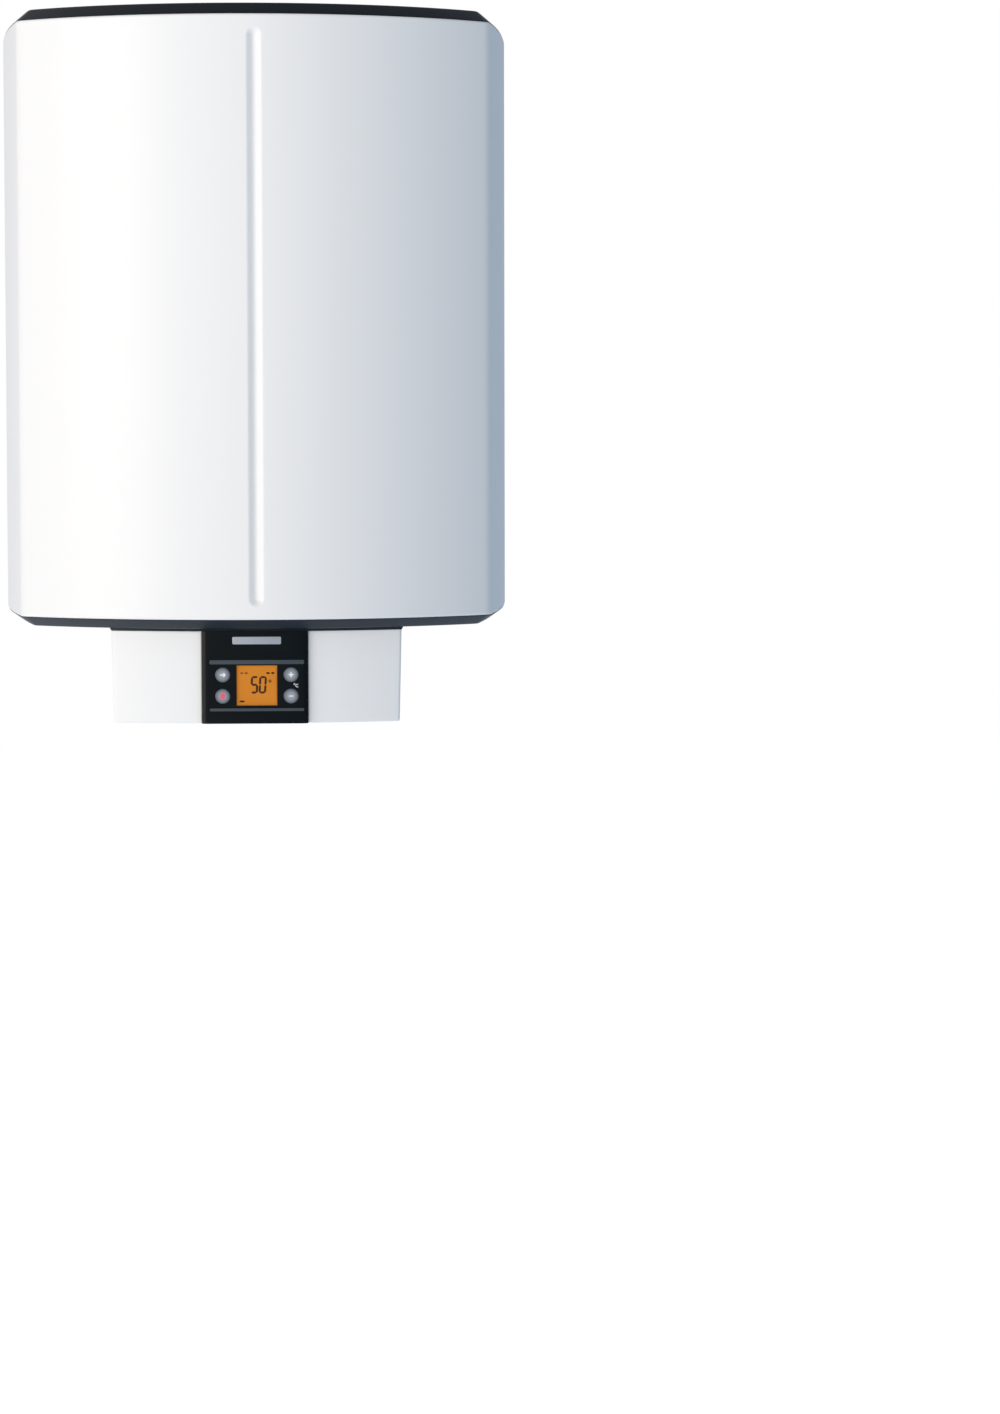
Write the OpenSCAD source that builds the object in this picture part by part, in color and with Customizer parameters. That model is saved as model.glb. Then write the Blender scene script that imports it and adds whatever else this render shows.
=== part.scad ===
// Wall-hung 50 litre storage water heater with an electronic control box under its casing.
// The front faces -Y, the wall is the plane Y = 0, and the origin lies on the wall midway
// between the two hanging slots. All sizes are in millimetres.

/* [Casing] */
// Width of the casing at its widest
casing_w = 510; // [430:1:610]
// Depth of the casing from its front to its rear panel
casing_d = 490; // [410:1:586]
// Height of the white casing between its lids
shell_h = 566; // [475:1:680]
// Distance from the hanging slots up to the casing's top rim
hang_drop = 140; // [120:1:170]
// Gap between the casing and the wall
wall_gap = 20; // [14:1:26]
// Thickness of the casing's steel sheet
sheet_t = 1.2; // [0.8:0.1:1.6]
// Radius of the broad front
front_r = 325; // [300:1:345]
// Radius of the upright crease between front and side
crease_r = 24; // [20:1:26]
// Direction of the side's front end, 90 being straight back
side_angle = 80.9; // [78:0.5:82]
// Radius of the upright rear corners
rear_r = 30; // [24:1:36]
// Width of the upright groove in the front
groove_w = 14.6; // [10:0.1:18]
// Depth of the upright groove
groove_depth = 3.6; // [1.5:0.1:4]
// Plain sheet left above and below the groove
groove_margin = 12.5; // [11.5:0.5:30]

/* [Lids] */
// Height of the top lid's sloping rim
lid_top_h = 11; // [8:0.5:14]
// Height of the bottom lid's sloping rim
lid_low_h = 9; // [7:0.5:12]
// How far each lid's rim leans in
lid_lean = 13; // [10:0.5:15]
// Crown of the top lid above its rim
lid_crown = 4; // [1:0.5:8]
// Wall of the moulded lids
lid_t = 2.5; // [2:0.1:3]
// Depth of the lids' skirts inside the casing
skirt_h = 9; // [6:0.5:10]

/* [Tank] */
// Foam between tank and casing at the sides
foam_side = 55; // [50:1:60]
// Foam between tank and casing at the front and back
foam_front = 45; // [40:1:52]
// Steel wall of the tank
tank_t = 2.5; // [2:0.1:4]
// Height of the tank's dished ends
dish_h = 60; // [45:1:75]
// Space from the casing's top rim down to the tank
tank_top_gap = 35; // [30:1:50]
// Space from the casing's bottom rim up to the tank
tank_low_gap = 50; // [45:1:65]
// Outer radius of the service flange
flange_r = 70; // [68:1:72]
// Inner radius of the flange neck
neck_r = 50; // [50:1:51]
// Radius of the flange's bolt circle
flange_pcd_r = 61; // [60:1:62]
// Number of flange screws
flange_bolts = 6; // [4:1:8]

/* [Water connections] */
// Spacing of the two pipes
pipe_spacing = 100; // [90:1:110]
// Distance of the pipes behind the tank's axis
pipe_back = 115; // [108:1:120]
// Outer radius of the G 1/2 thread
thread_r = 10.4775; // [10.4:0.0025:10.6]
// Length of the threaded end
thread_l = 18; // [14:1:22]
// Outer radius of the pipe above its thread
pipe_r = 9; // [8.5:0.1:9.5]
// Bore radius of the pipes
pipe_bore_r = 7; // [6:0.1:7.5]
// Length of the pipes below the bottom lid
pipe_out = 48; // [40:1:60]

/* [Hanging bracket] */
// Spacing of the two slots
slot_spacing = 300; // [290:1:320]
// Width of each slot
slot_w = 13; // [11:0.5:14]
// Length of each slot from end to end
slot_l = 30; // [24:1:34]
// Length of the bracket plate
bracket_w = 380; // [370:1:390]
// Height of the bracket plate
bracket_h = 44; // [40:1:50]
// Thickness of the bracket's steel
bracket_t = 3; // [2.5:0.5:4]
// Spacing of the two arms welded to the tank
arm_spacing = 210; // [190:1:220]

/* [Control box] */
// Width of the control box at its top
box_w = 275.6; // [250:1:290]
// Height of the lid's plinth above the control box
plinth_h = 2.6; // [2:0.1:3]
// Height of the control box
box_h = 87.4; // [84:0.2:106]
// Draft of each side over the box's height
box_draft = 2; // [0:0.5:3]
// Wall of the control box
box_t = 2.5; // [2:0.1:3]
// Radius of the box's curved front
box_front_r = 420; // [380:1:460]
// Distance of the box's front behind the casing's front
box_inset = 22; // [20:1:26]
// Width of the black control panel
panel_w = 100.2; // [96:0.2:104]
// Width of the panel's bevelled side edges
panel_bevel = 4; // [2:0.2:5]
// Width of the display window
window_w = 38.2; // [34:0.2:40]
// Height of the display window
window_h = 38; // [34:0.5:40]
// Radius of the push buttons
button_r = 7.1; // [6:0.1:7.4]
// Spacing of the left and right buttons
button_dx = 64.6; // [62:0.2:68]
// Spacing of the upper and lower buttons
button_dz = 20.2; // [18:0.2:22]
// Travel of the push buttons
button_travel = 1; // [0.5:0.1:1]

/* [Hidden] */

gap = 0.1;              // clearance of parts that are fitted and stay put
run_gap = 0.3;          // clearance of parts that slide
over = 1;               // how far cutting shapes reach past the solid that they cut
$fn = 48;

y_front = -(wall_gap + casing_d);
y_back = -wall_gap;
tank_y = y_front + casing_d / 2;
z_top = hang_drop;
z_bot = hang_drop - shell_h;

// ---- Plan of the casing: front arc, crease, side arc and rear corner, tangent to each other.
side_s = sin(side_angle);
side_c = cos(side_angle);
plan_a = casing_w / 2 - crease_r * side_s;
plan_b = casing_d - rear_r - front_r + crease_r * side_c;
plan_m = plan_a * (1 - side_s) + plan_b * side_c;
plan_n = plan_a ^ 2 + plan_b ^ 2 - (front_r - crease_r) ^ 2;
side_r = (plan_m + sqrt(plan_m ^ 2 - 2 * (1 - side_s) * plan_n)) / (2 * (1 - side_s));
front_angle = atan2(plan_a - side_r * (1 - side_s), side_r * side_c - plan_b);

function toward(a) = [sin(a), -cos(a)];
front_c = [0, y_front + front_r];
crease_c = front_c + (front_r - crease_r) * toward(front_angle);
side_cc = crease_c - (side_r - crease_r) * toward(side_angle);
rear_c = [casing_w / 2 - rear_r, y_back - rear_r];

function arc(c, r, a0, a1, n, first) =
    [for (i = [first:n]) c + r * toward(a0 + (a1 - a0) * i / n)];
function half_outline(inset) = concat(
    arc(front_c, front_r - inset, 0, front_angle, 12, 0),
    arc(crease_c, crease_r - inset, front_angle, side_angle, 4, 1),
    arc(side_cc, side_r - inset, side_angle, 90, 6, 1),
    arc(rear_c, rear_r - inset, 90, 180, 6, 1));
function mirrored(p) = [for (i = [len(p) - 1:-1:1]) [-p[i].x, p[i].y]];
function outline(inset) = let (h = half_outline(inset)) concat(h, mirrored(h));

// A ring of the casing's plan at height z, shrunk towards the tank's axis by scale k.
function casing_ring(inset, z, k = 1) =
    [for (p = outline(inset)) [k * p.x, tank_y + k * (p.y - tank_y), z]];

// A closed solid through a stack of rings that have equally many points.
module loft(rings) {
    n = len(rings[0]);
    top = (len(rings) - 1) * n;
    sides = [for (i = [0:len(rings) - 2]) for (j = [0:n - 1]) let (k = (j + 1) % n)
        [i * n + j, (i + 1) * n + j, (i + 1) * n + k, i * n + k]];
    polyhedron([for (r = rings) each r],
        concat(sides, [[for (j = [0:n - 1]) j]], [[for (j = [n - 1:-1:0]) top + j]]), 10);
}

// ---- Curved leads: a smooth line through a few chosen points, swept with a round section.
function spline_point(p, i, t) = let (
        a = p[max(i - 1, 0)], b = p[i], c = p[i + 1], d = p[min(i + 2, len(p) - 1)])
    0.5 * (2 * b + (c - a) * t + (2 * a - 5 * b + 4 * c - d) * t ^ 2
        + (3 * b - a - 3 * c + d) * t ^ 3);
function spline(p, n) = concat(
    [for (i = [0:len(p) - 2]) for (k = [0:n - 1]) spline_point(p, i, k / n)], [p[len(p) - 1]]);
function unit(v) = v / norm(v);
// Directions along a line; its two ends meet what they are joined to squarely.
function directions(line, points) = let (n = len(points)) concat(
    [unit(points[1] - points[0])],
    [for (i = [1:len(line) - 2]) unit(line[i + 1] - line[i - 1])],
    [unit(points[n - 1] - points[n - 2])]);
function square_to(d, v) = unit(v - (v * d) * d);
// A vector across the line at each of its points, carried along so that the section never twists.
function carried(ways, v, i = 0) = i == len(ways) ? [] :
    let (u = square_to(ways[i], v)) concat([u], carried(ways, u, i + 1));
module lead(points, r, n = 4, sides = 8) {
    line = spline(points, n);
    ways = directions(line, points);
    across = carried(ways, [0.8, 0.5, 0.3]);
    loft([for (i = [0:len(line) - 1]) let (u = across[i], v = cross(u, ways[i]))
        [for (j = [0:sides - 1]) let (a = 360 * j / sides) line[i] + r * (u * cos(a) + v * sin(a))]]);
}

// ---- Casing
groove_r = ((groove_w / 2) ^ 2 + groove_depth ^ 2) / (2 * groove_depth);
module groove_tool(grow) {
    r = groove_r + grow;
    y = y_front - groove_r + groove_depth;
    z0 = z_bot + groove_margin + groove_w / 2;
    z1 = z_top - groove_margin - groove_w / 2;
    translate([0, y, z0]) cylinder(r = r, h = z1 - z0);
    for (z = [z0, z1]) translate([0, y, z]) sphere(r = r);
}

lap_x = casing_w / 2 - rear_r - 20;     // where the casing's rear returns end
lap = 14;                               // width of the lap under those returns
module casing_block(inset, z0, z1) {
    translate([0, 0, z0]) linear_extrude(z1 - z0) polygon(outline(inset));
}
module rear_half(z0, z1, x, y) {
    translate([-x, y, z0]) cube([2 * x, wall_gap + casing_d, z1 - z0]);
}

module front_shell() {
    color("white") difference() {
        union() {
            difference() {
                casing_block(0, z_bot, z_top);
                casing_block(sheet_t, z_bot - over, z_top + over);
            }
            intersection() {
                groove_tool(sheet_t);
                casing_block(sheet_t / 2, z_bot, z_top);
            }
        }
        groove_tool(0);
        rear_half(z_bot - over, z_top + over, lap_x, y_back - sheet_t - over);
        rivet_places() cylinder(r = rivet_r + gap, h = 4 * sheet_t, center = true);
    }
}

arm_x = arm_spacing / 2;
arm_slot_gap = 1;
module arm_slots(depth) {
    for (s = [-1, 1])
        translate([s * arm_x - bracket_t / 2 - arm_slot_gap, y_back - depth, -bracket_h / 2 - arm_slot_gap])
            cube([bracket_t + 2 * arm_slot_gap, depth + over, bracket_h + 2 * arm_slot_gap]);
}

module rear_panel() {
    x = lap_x + lap;
    color("gainsboro") difference() {
        translate([-x, y_back - 2 * sheet_t, z_bot]) cube([2 * x, sheet_t, shell_h]);
        arm_slots(3 * sheet_t);
        rivet_places() cylinder(r = rivet_r + gap, h = 6 * sheet_t, center = true);
        buffer_places() cylinder(r = buffer_screw_r + gap, h = 6 * sheet_t, center = true);
    }
}

rivet_r = 1.6;
rivet_rows = 6;
module rivet_places() {
    for (s = [-1, 1]) for (i = [0:rivet_rows - 1])
        translate([s * (lap_x + lap / 2), y_back - sheet_t,
            z_bot + 30 + i * (shell_h - 60) / (rivet_rows - 1)])
            rotate([90, 0, 0]) children();
}
module seam_rivets() {
    color("silver") rivet_places() {
        cylinder(r = rivet_r, h = 2 * sheet_t + 0.6, center = true);
        translate([0, 0, -sheet_t - 1]) cylinder(r = 2 * rivet_r, h = 1);
        translate([0, 0, sheet_t]) cylinder(r = 1.4 * rivet_r, h = 1.2);
    }
}

// ---- Lids
module skirt(z0) {
    difference() {
        casing_block(sheet_t + gap, z0, z0 + skirt_h);
        casing_block(sheet_t + gap + lid_t, z0 - over, z0 + skirt_h + over);
        rear_half(z0 - over, z0 + skirt_h + over, casing_w, y_back - 2 * sheet_t - 1);
    }
}

function lid_dome(inset, z) = [casing_ring(inset, z),
    casing_ring(inset, z + 0.55 * lid_crown, 0.82), casing_ring(inset, z + lid_crown, 0.4)];
module top_lid() {
    color([0.09, 0.11, 0.14]) union() {
        difference() {
            loft([casing_ring(0, z_top), casing_ring(0.6, z_top + 1),
                each lid_dome(lid_lean, z_top + lid_top_h)]);
            loft([casing_ring(2 * lid_t, z_top - over), casing_ring(2 * lid_t, z_top + 1),
                each lid_dome(lid_lean + lid_t, z_top + lid_top_h - lid_t)]);
        }
        skirt(z_top - skirt_h);
        difference() {
            casing_block(sheet_t + gap, z_top, z_top + 1);
            casing_block(2 * lid_t + over, z_top - over, z_top + 2);
        }
    }
}

z_lid = z_bot - lid_low_h;              // underside of the bottom lid
z_seat = z_lid - plinth_h;              // where the control box meets the lid's plinth
plinth_out = 1.7;                       // how far the plinth's upper edge stands out past the box
panel_x = -1.8;                         // middle of the panel; the display stays in the box's middle
z_box = z_seat - box_h;                 // underside of the control box
pipe_y = tank_y + pipe_back;
collar_r = 17;
box_y0 = y_front + box_inset;           // front of the control box
box_y1 = pipe_y - collar_r - 4;         // rear of the control box
access_r = flange_r + 4;                // opening in the lid below the flange
post_r = 5;
post_x = box_w / 2 - box_draft - box_t - post_r - 1;
post_ys = [box_y0 + 48, box_y1 - box_t - post_r - 1];
screw_r = 1.5;

module post_places() {
    for (s = [-1, 1]) for (y = post_ys) translate([s * post_x, y, 0]) children();
}
module pipe_places() {
    for (s = [-1, 1]) translate([s * pipe_spacing / 2, pipe_y, 0]) children();
}

module bottom_lid() {
    color([0.15, 0.18, 0.21]) difference() {
        union() {
            difference() {
                loft([casing_ring(lid_lean, z_lid), casing_ring(0.6, z_bot - 1), casing_ring(0, z_bot)]);
                loft([casing_ring(lid_lean + lid_t, z_lid + lid_t), casing_ring(2 * lid_t, z_bot + over)]);
            }
            skirt(z_bot);
            difference() {
                casing_block(sheet_t + gap, z_bot - 1, z_bot);
                casing_block(2 * lid_t + over, z_bot - 2, z_bot + over);
            }
            difference() {
                loft([box_ring(box_w / 2 + 0.4, 0, z_seat),
                    box_ring(box_w / 2 + plinth_out, 0, z_lid + 1)]);
                loft([box_ring(box_w / 2, 3 * box_t, z_seat - over),
                    box_ring(box_w / 2, 3 * box_t, z_lid + 2)]);
            }
            post_places() translate([0, 0, z_box + box_t])
                cylinder(r = post_r, h = z_lid + 1 - z_box - box_t);
        }
        translate([0, tank_y, z_lid - over]) cylinder(r = access_r, h = lid_low_h + 2 * over);
        pipe_places() translate([0, 0, z_lid - over])
            cylinder(r = thread_r + 0.5, h = lid_low_h + 2 * over);
        post_places() translate([0, 0, z_box]) cylinder(r = screw_r, h = 20);
    }
}

// ---- Tank: revolved about its upright axis
tank_r = min(casing_w / 2 - foam_side, casing_d / 2 - foam_front);
tank_z0 = z_bot + tank_low_gap;
tank_z1 = z_top - tank_top_gap;
foam_gap = 14;                          // space between the foam and each rim
ring_t = 8;
ring_z = z_bot + foam_gap;              // underside of the flange ring
gasket_t = 3;
plate_t = 5;
plate_z = ring_z - gasket_t - plate_t;  // underside of the flange plate
neck_t = 3.5;
dish_steps = 10;

// Half profile of the vessel, wall w inside its outer surface; both ends are half ellipses.
function dish(w, z, up) = [for (i = [0:dish_steps]) let (a = 90 * i / dish_steps)
    [(tank_r - w) * cos(a), z + up * (dish_h - w) * sin(a)]];
function vessel(w) = let (
        low = dish(w, tank_z0 + dish_h, -1), high = dish(w, tank_z1 - dish_h, 1))
    concat([for (i = [dish_steps:-1:0]) low[i]], high);

module vessel_solid(w) {
    translate([0, tank_y, 0]) rotate_extrude($fn = 96) polygon(vessel(w));
}
module flange_holes(z, h, r) {
    for (i = [0:flange_bolts - 1]) rotate(360 / flange_bolts * i)
        translate([flange_pcd_r, 0, z]) cylinder(r = r, h = h);
}
bolt_r = 3;

module inner_tank() {
    color("steelblue") difference() {
        union() {
            vessel_solid(0);
            translate([0, tank_y, ring_z])
                cylinder(r = neck_r + neck_t, h = tank_low_gap - foam_gap + dish_h / 4);
            translate([0, tank_y, ring_z]) cylinder(r = flange_r, h = ring_t);
        }
        vessel_solid(tank_t);
        translate([0, tank_y, ring_z - over]) cylinder(r = neck_r, h = tank_low_gap + dish_h);
        translate([0, tank_y, 0]) flange_holes(ring_z - over, ring_t + 2 * over, bolt_r + gap);
        pipe_places() translate([0, 0, tank_z0 - over]) cylinder(r = pipe_r + gap, h = dish_h);
    }
}

module foam_insulation() {
    color("khaki") difference() {
        casing_block(sheet_t + gap, z_bot + foam_gap, z_top - foam_gap);
        groove_tool(sheet_t + gap);
        rear_half(z_bot, z_top, casing_w, y_back - 2 * sheet_t - gap);
        translate([0, tank_y, 0]) rotate_extrude($fn = 96) polygon(vessel(-gap));
        translate([0, tank_y, z_bot]) cylinder(r = flange_r + gap, h = foam_gap + ring_t + gap);
        translate([0, tank_y, z_bot]) cylinder(r = neck_r + neck_t + gap, h = tank_low_gap + dish_h / 2);
        pipe_places() translate([0, 0, z_bot]) cylinder(r = pipe_r + gap, h = tank_low_gap + dish_h);
        arm_slots(casing_d / 2);
        buffer_places() translate([0, 0, -buffer_screw_l]) cylinder(r = 6, h = 2 * buffer_screw_l);
        rivet_places() cylinder(r = 2.4, h = 8, center = true);
    }
}

// ---- Service flange and what it carries
leg_r = 4.25;
leg_x = 16;
leg_rows = [-26, 0, 26];
leg_top = plate_z + min(260, tank_z1 - dish_h - plate_z - 60);
well_x = 38;
well_r = 6;
anode_x = -38;
anode_r = 9;
anode_core_r = 3;
stud_y = -52;
stud_r = 2.5;
stud_l = 14;
stud_nut_r = 4.6;
stud_nut_h = 4;
flange_head_r = 5.8;
flange_head_h = 4;
sleeve_l = 3;                           // how far the elements' legs reach below the flange plate
insulator_r = 3.4;
insulator_h = 5;
pin_r = 2;

module leg_places() {
    for (y = leg_rows) for (s = [-1, 1]) translate([s * leg_x, tank_y + y, 0]) children();
}

module flange_gasket() {
    color("dimgray") translate([0, tank_y, ring_z - gasket_t]) difference() {
        cylinder(r = flange_r, h = gasket_t);
        translate([0, 0, -over]) cylinder(r = neck_r, h = gasket_t + 2 * over);
        flange_holes(-over, gasket_t + 2 * over, bolt_r + gap);
    }
}

module flange_plate() {
    color("lightsteelblue") difference() {
        translate([0, tank_y, plate_z]) cylinder(r = flange_r, h = plate_t);
        translate([0, tank_y, 0]) flange_holes(plate_z - over, plate_t + 2 * over, bolt_r + gap);
        leg_places() translate([0, 0, plate_z - over]) cylinder(r = leg_r + gap, h = plate_t + 2 * over);
        translate([well_x, tank_y, plate_z - over]) cylinder(r = well_r + gap, h = plate_t + 2 * over);
        translate([anode_x, tank_y, plate_z - over])
            cylinder(r = anode_core_r + gap, h = plate_t + 2 * over);
    }
}

module flange_screws() {
    color("silver") translate([0, tank_y, 0]) for (i = [0:flange_bolts - 1])
        rotate(360 / flange_bolts * i) translate([flange_pcd_r, 0, 0]) {
            translate([0, 0, plate_z]) cylinder(r = bolt_r, h = ring_z + ring_t - plate_z);
            translate([0, 0, plate_z - flange_head_h])
                cylinder(r = flange_head_r, h = flange_head_h, $fn = 6);
        }
}

module heating_elements() {
    color("peru") for (y = leg_rows) translate([0, tank_y + y, 0]) {
        for (s = [-1, 1]) translate([s * leg_x, 0, plate_z - sleeve_l])
            cylinder(r = leg_r, h = leg_top - plate_z + sleeve_l);
        translate([0, 0, leg_top]) rotate([90, 0, 0]) rotate_extrude(angle = 180)
            translate([leg_x, 0]) circle(r = leg_r);
    }
}

pin_z = z_lid - 10;                     // lower end of the elements' terminal pins
bridge_t = 2;                           // bar that joins the three pins of the neutral side
module element_terminals() {
    color("gold") leg_places() {
        translate([0, 0, plate_z - sleeve_l - insulator_h]) cylinder(r = insulator_r, h = insulator_h);
        translate([0, 0, pin_z]) cylinder(r = pin_r, h = plate_z - sleeve_l - insulator_h - pin_z);
    }
    color("gold") translate([-leg_x - 3, tank_y + leg_rows[0] - 4, pin_z - bridge_t])
        cube([6, leg_rows[2] - leg_rows[0] + 8, bridge_t]);
}

module thermowell() {
    color("darkgray") translate([well_x, tank_y, 0]) difference() {
        union() {
            translate([0, 0, plate_z - 4]) cylinder(r = well_r, h = 190);
            translate([0, 0, plate_z - 4]) cylinder(r = well_r + 1.6, h = 4);
        }
        translate([0, 0, plate_z - 4 - over]) cylinder(r = well_r - 1, h = 188 + over);
    }
}
probe_r = 2.2;
probe_dx = 2.4;
module temperature_probe() {
    color("silver") translate([well_x - probe_dx, tank_y, plate_z]) cylinder(r = probe_r, h = 80);
}
module limiter_bulb() {
    color("goldenrod") translate([well_x + probe_dx, tank_y, plate_z]) cylinder(r = probe_r, h = 110);
}

module anode_rod() {
    top = min(200, tank_z1 - dish_h - plate_z - 60);
    color("lightgray") difference() {
        translate([anode_x, tank_y, ring_z + 10]) cylinder(r = anode_r, h = top);
        translate([anode_x, tank_y, ring_z + 10 - over]) cylinder(r = anode_core_r + gap, h = 41);
    }
}
module anode_plug() {
    color("gray") translate([anode_x, tank_y, 0]) {
        translate([0, 0, plate_z - 6]) cylinder(r = anode_core_r, h = ring_z + 50 - plate_z + 4);
        translate([0, 0, plate_z - 5]) cylinder(r = 6.5, h = 5, $fn = 6);
    }
}
module earth_stud() {
    color("silver") translate([0, tank_y + stud_y, plate_z - stud_l]) {
        cylinder(r = stud_r, h = stud_l);
        for (z = [stud_l - stud_nut_h, stud_l - 2 * stud_nut_h - 1])
            translate([0, 0, z]) cylinder(r = stud_nut_r, h = stud_nut_h, $fn = 6);
    }
}

// ---- Water pipes
pipe_z0 = z_lid - pipe_out;
module pipe(x, z1) {
    color("silver") translate([x, pipe_y, 0]) difference() {
        union() {
            translate([0, 0, pipe_z0]) cylinder(r = thread_r, h = thread_l);
            translate([0, 0, pipe_z0]) cylinder(r = pipe_r, h = z1 - pipe_z0);
        }
        translate([0, 0, pipe_z0 - over]) cylinder(r = pipe_bore_r, h = z1 - pipe_z0 + 2 * over);
    }
}
cold_x = pipe_spacing / 2;
inlet_z = tank_z0 + dish_h + 10;
module cold_inlet_pipe() { pipe(cold_x, inlet_z); }
module hot_outlet_pipe() { pipe(-cold_x, tank_z1 - dish_h * 0.6); }
module inlet_diffuser() {
    color("ivory") translate([cold_x, pipe_y, inlet_z - 12]) difference() {
        cylinder(r = pipe_r + 4, h = 24);
        translate([0, 0, -over]) cylinder(r = pipe_r + gap, h = 12 + over);
        translate([0, 0, 12 - over]) cylinder(r = pipe_r - 1, h = 9 + over);
        for (a = [0:60:300]) rotate(a) translate([pipe_r - 3, -2.5, 13]) cube([9, 5, 6]);
    }
}
module collar(x) {
    translate([x, pipe_y, z_lid - 5]) difference() {
        union() {
            cylinder(r = collar_r - 3, h = 5);
            translate([0, 0, 2.5]) cylinder(r = collar_r, h = 2.5);
        }
        translate([0, 0, -over]) cylinder(r = pipe_r + gap, h = 5 + 2 * over);
    }
}
module cold_collar() { color("royalblue") collar(cold_x); }
module hot_collar() { color("firebrick") collar(-cold_x); }

// ---- Wall side
module wall_bracket() {
    color("silver") union() {
        difference() {
            translate([-bracket_w / 2, -bracket_t, -bracket_h / 2])
                cube([bracket_w, bracket_t, bracket_h]);
            for (s = [-1, 1]) translate([s * slot_spacing / 2, over, 0]) rotate([90, 0, 0])
                linear_extrude(bracket_t + 2 * over) union() {
                    square([slot_l - slot_w, slot_w], center = true);
                    for (e = [-1, 1]) translate([e * (slot_l - slot_w) / 2, 0]) circle(d = slot_w);
                }
        }
        difference() {
            for (s = [-1, 1]) translate([s * arm_x - bracket_t / 2, tank_y, -bracket_h / 2])
                cube([bracket_t, -tank_y - bracket_t / 2, bracket_h]);
            translate([0, tank_y, -bracket_h]) cylinder(r = tank_r, h = 2 * bracket_h, $fn = 96);
        }
    }
}

buffer_r = 20;
buffer_screw_r = 2.5;
buffer_screw_l = 16;
buffer_z = z_bot + 70;
module buffer_places() {
    for (s = [-1, 1]) translate([s * 130, y_back, buffer_z]) rotate([-90, 0, 0]) children();
}
module wall_buffers() {
    color("dimgray") buffer_places() difference() {
        translate([0, 0, -sheet_t])
            cylinder(r1 = buffer_r, r2 = buffer_r - 3, h = wall_gap + sheet_t, $fn = 64);
        translate([0, 0, wall_gap / 2]) cylinder(r = 7, h = wall_gap);
        translate([0, 0, -2 * sheet_t]) cylinder(r = buffer_screw_r + gap, h = wall_gap);
    }
}
module buffer_screws() {
    color("silver") buffer_places() {
        translate([0, 0, wall_gap / 2]) cylinder(r = 5, h = 3);
        translate([0, 0, wall_gap / 2 - buffer_screw_l]) cylinder(r = buffer_screw_r, h = buffer_screw_l);
    }
}

// ---- Control box
box_c = [0, box_y0 + box_front_r];
function box_ring(half_w, inset, z) = let (r = box_front_r - inset, a = asin((half_w - inset) / r))
    concat([for (i = [0:16]) let (p = box_c + r * toward(a * (i / 8 - 1))) [p.x, p.y, z]],
        [[half_w - inset, box_y1 - inset, z], [inset - half_w, box_y1 - inset, z]]);

gland_x = 95;
gland_z = z_box + 40;
gland_r = 10;
module gland_at() { translate([gland_x, box_y1, gland_z]) rotate([-90, 0, 0]) children(); }

panel_y = box_y0 - 1.5;                 // front face of the control panel
panel_t = 3;
bevel_h = 2.2;
panel_back = box_y0 + 9.5;
panel_z0 = z_box;
panel_z1 = z_seat;

module control_housing() {
    low_w = box_w / 2 - box_draft;
    floor_w = low_w + box_draft * box_t / box_h;
    color("white") difference() {
        loft([box_ring(low_w, 0, z_box), box_ring(box_w / 2, 0, z_seat)]);
        loft([box_ring(floor_w, box_t, z_box + box_t), box_ring(box_w / 2 + 0.02, box_t, z_seat + over)]);
        translate([panel_x - panel_w / 2 - gap, panel_y - over, z_box - over])
            cube([panel_w + 2 * gap, panel_back - panel_y + over + gap, box_h + 2 * over]);
        post_places() translate([0, 0, z_box - over]) cylinder(r = screw_r + 0.3, h = box_t + 2 * over);
        gland_at() cylinder(r = gland_r + gap, h = 4 * box_t, center = true);
    }
}
housing_head_r = 3.6;
housing_head_h = 1.6;
housing_screw_l = 14;
module housing_screws() {
    color("silver") post_places() {
        translate([0, 0, z_box - housing_head_h]) cylinder(r = housing_head_r, h = housing_head_h);
        translate([0, 0, z_box]) cylinder(r = screw_r - gap, h = housing_screw_l);
    }
}

// ---- Control panel and display
window_z = z_lid - 53.8;                // middle of the window and of the buttons
module at_button(sx, sz) {
    translate([sx * button_dx / 2, panel_y, window_z + sz * button_dz / 2]) rotate([-90, 0, 0])
        children();
}
wing = 7;                               // how far the panel reaches behind the box's wall
wing_x = panel_w / 2 + wing;
wing_y = box_y0 + box_t + box_front_r - sqrt(box_front_r ^ 2 - (wing_x - panel_x) ^ 2) + 0.6;

module control_panel() {
    h = panel_z1 - panel_z0;
    inner = panel_w - 2 * box_t;
    color([0.05, 0.06, 0.08]) difference() {
        translate([panel_x, 0, 0]) union() {
            translate([0, 0, panel_z0]) linear_extrude(h) polygon([
                [-panel_w / 2, panel_back], [-panel_w / 2, panel_y + bevel_h],
                [-panel_w / 2 + panel_bevel, panel_y], [panel_w / 2 - panel_bevel, panel_y],
                [panel_w / 2, panel_y + bevel_h], [panel_w / 2, panel_back]]);
            translate([-wing_x, wing_y, z_box + box_t + gap])
                cube([2 * wing_x, panel_back - wing_y, panel_z1 - z_box - box_t - gap]);
        }
        translate([panel_x - inner / 2, panel_y + panel_t, panel_z0 + box_t])
            cube([inner, 20, h - 2 * box_t]);
        translate([-window_w / 2 - gap, panel_y - over, window_z - window_h / 2 - gap])
            cube([window_w + 2 * gap, panel_t + 2 * over, window_h + 2 * gap]);
        for (sx = [-1, 1]) for (sz = [-1, 1])
            at_button(sx, sz) translate([0, 0, -over])
                cylinder(r = button_r + run_gap, h = panel_t + 2 * over);
        panel_inlays(gap);
    }
}

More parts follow.
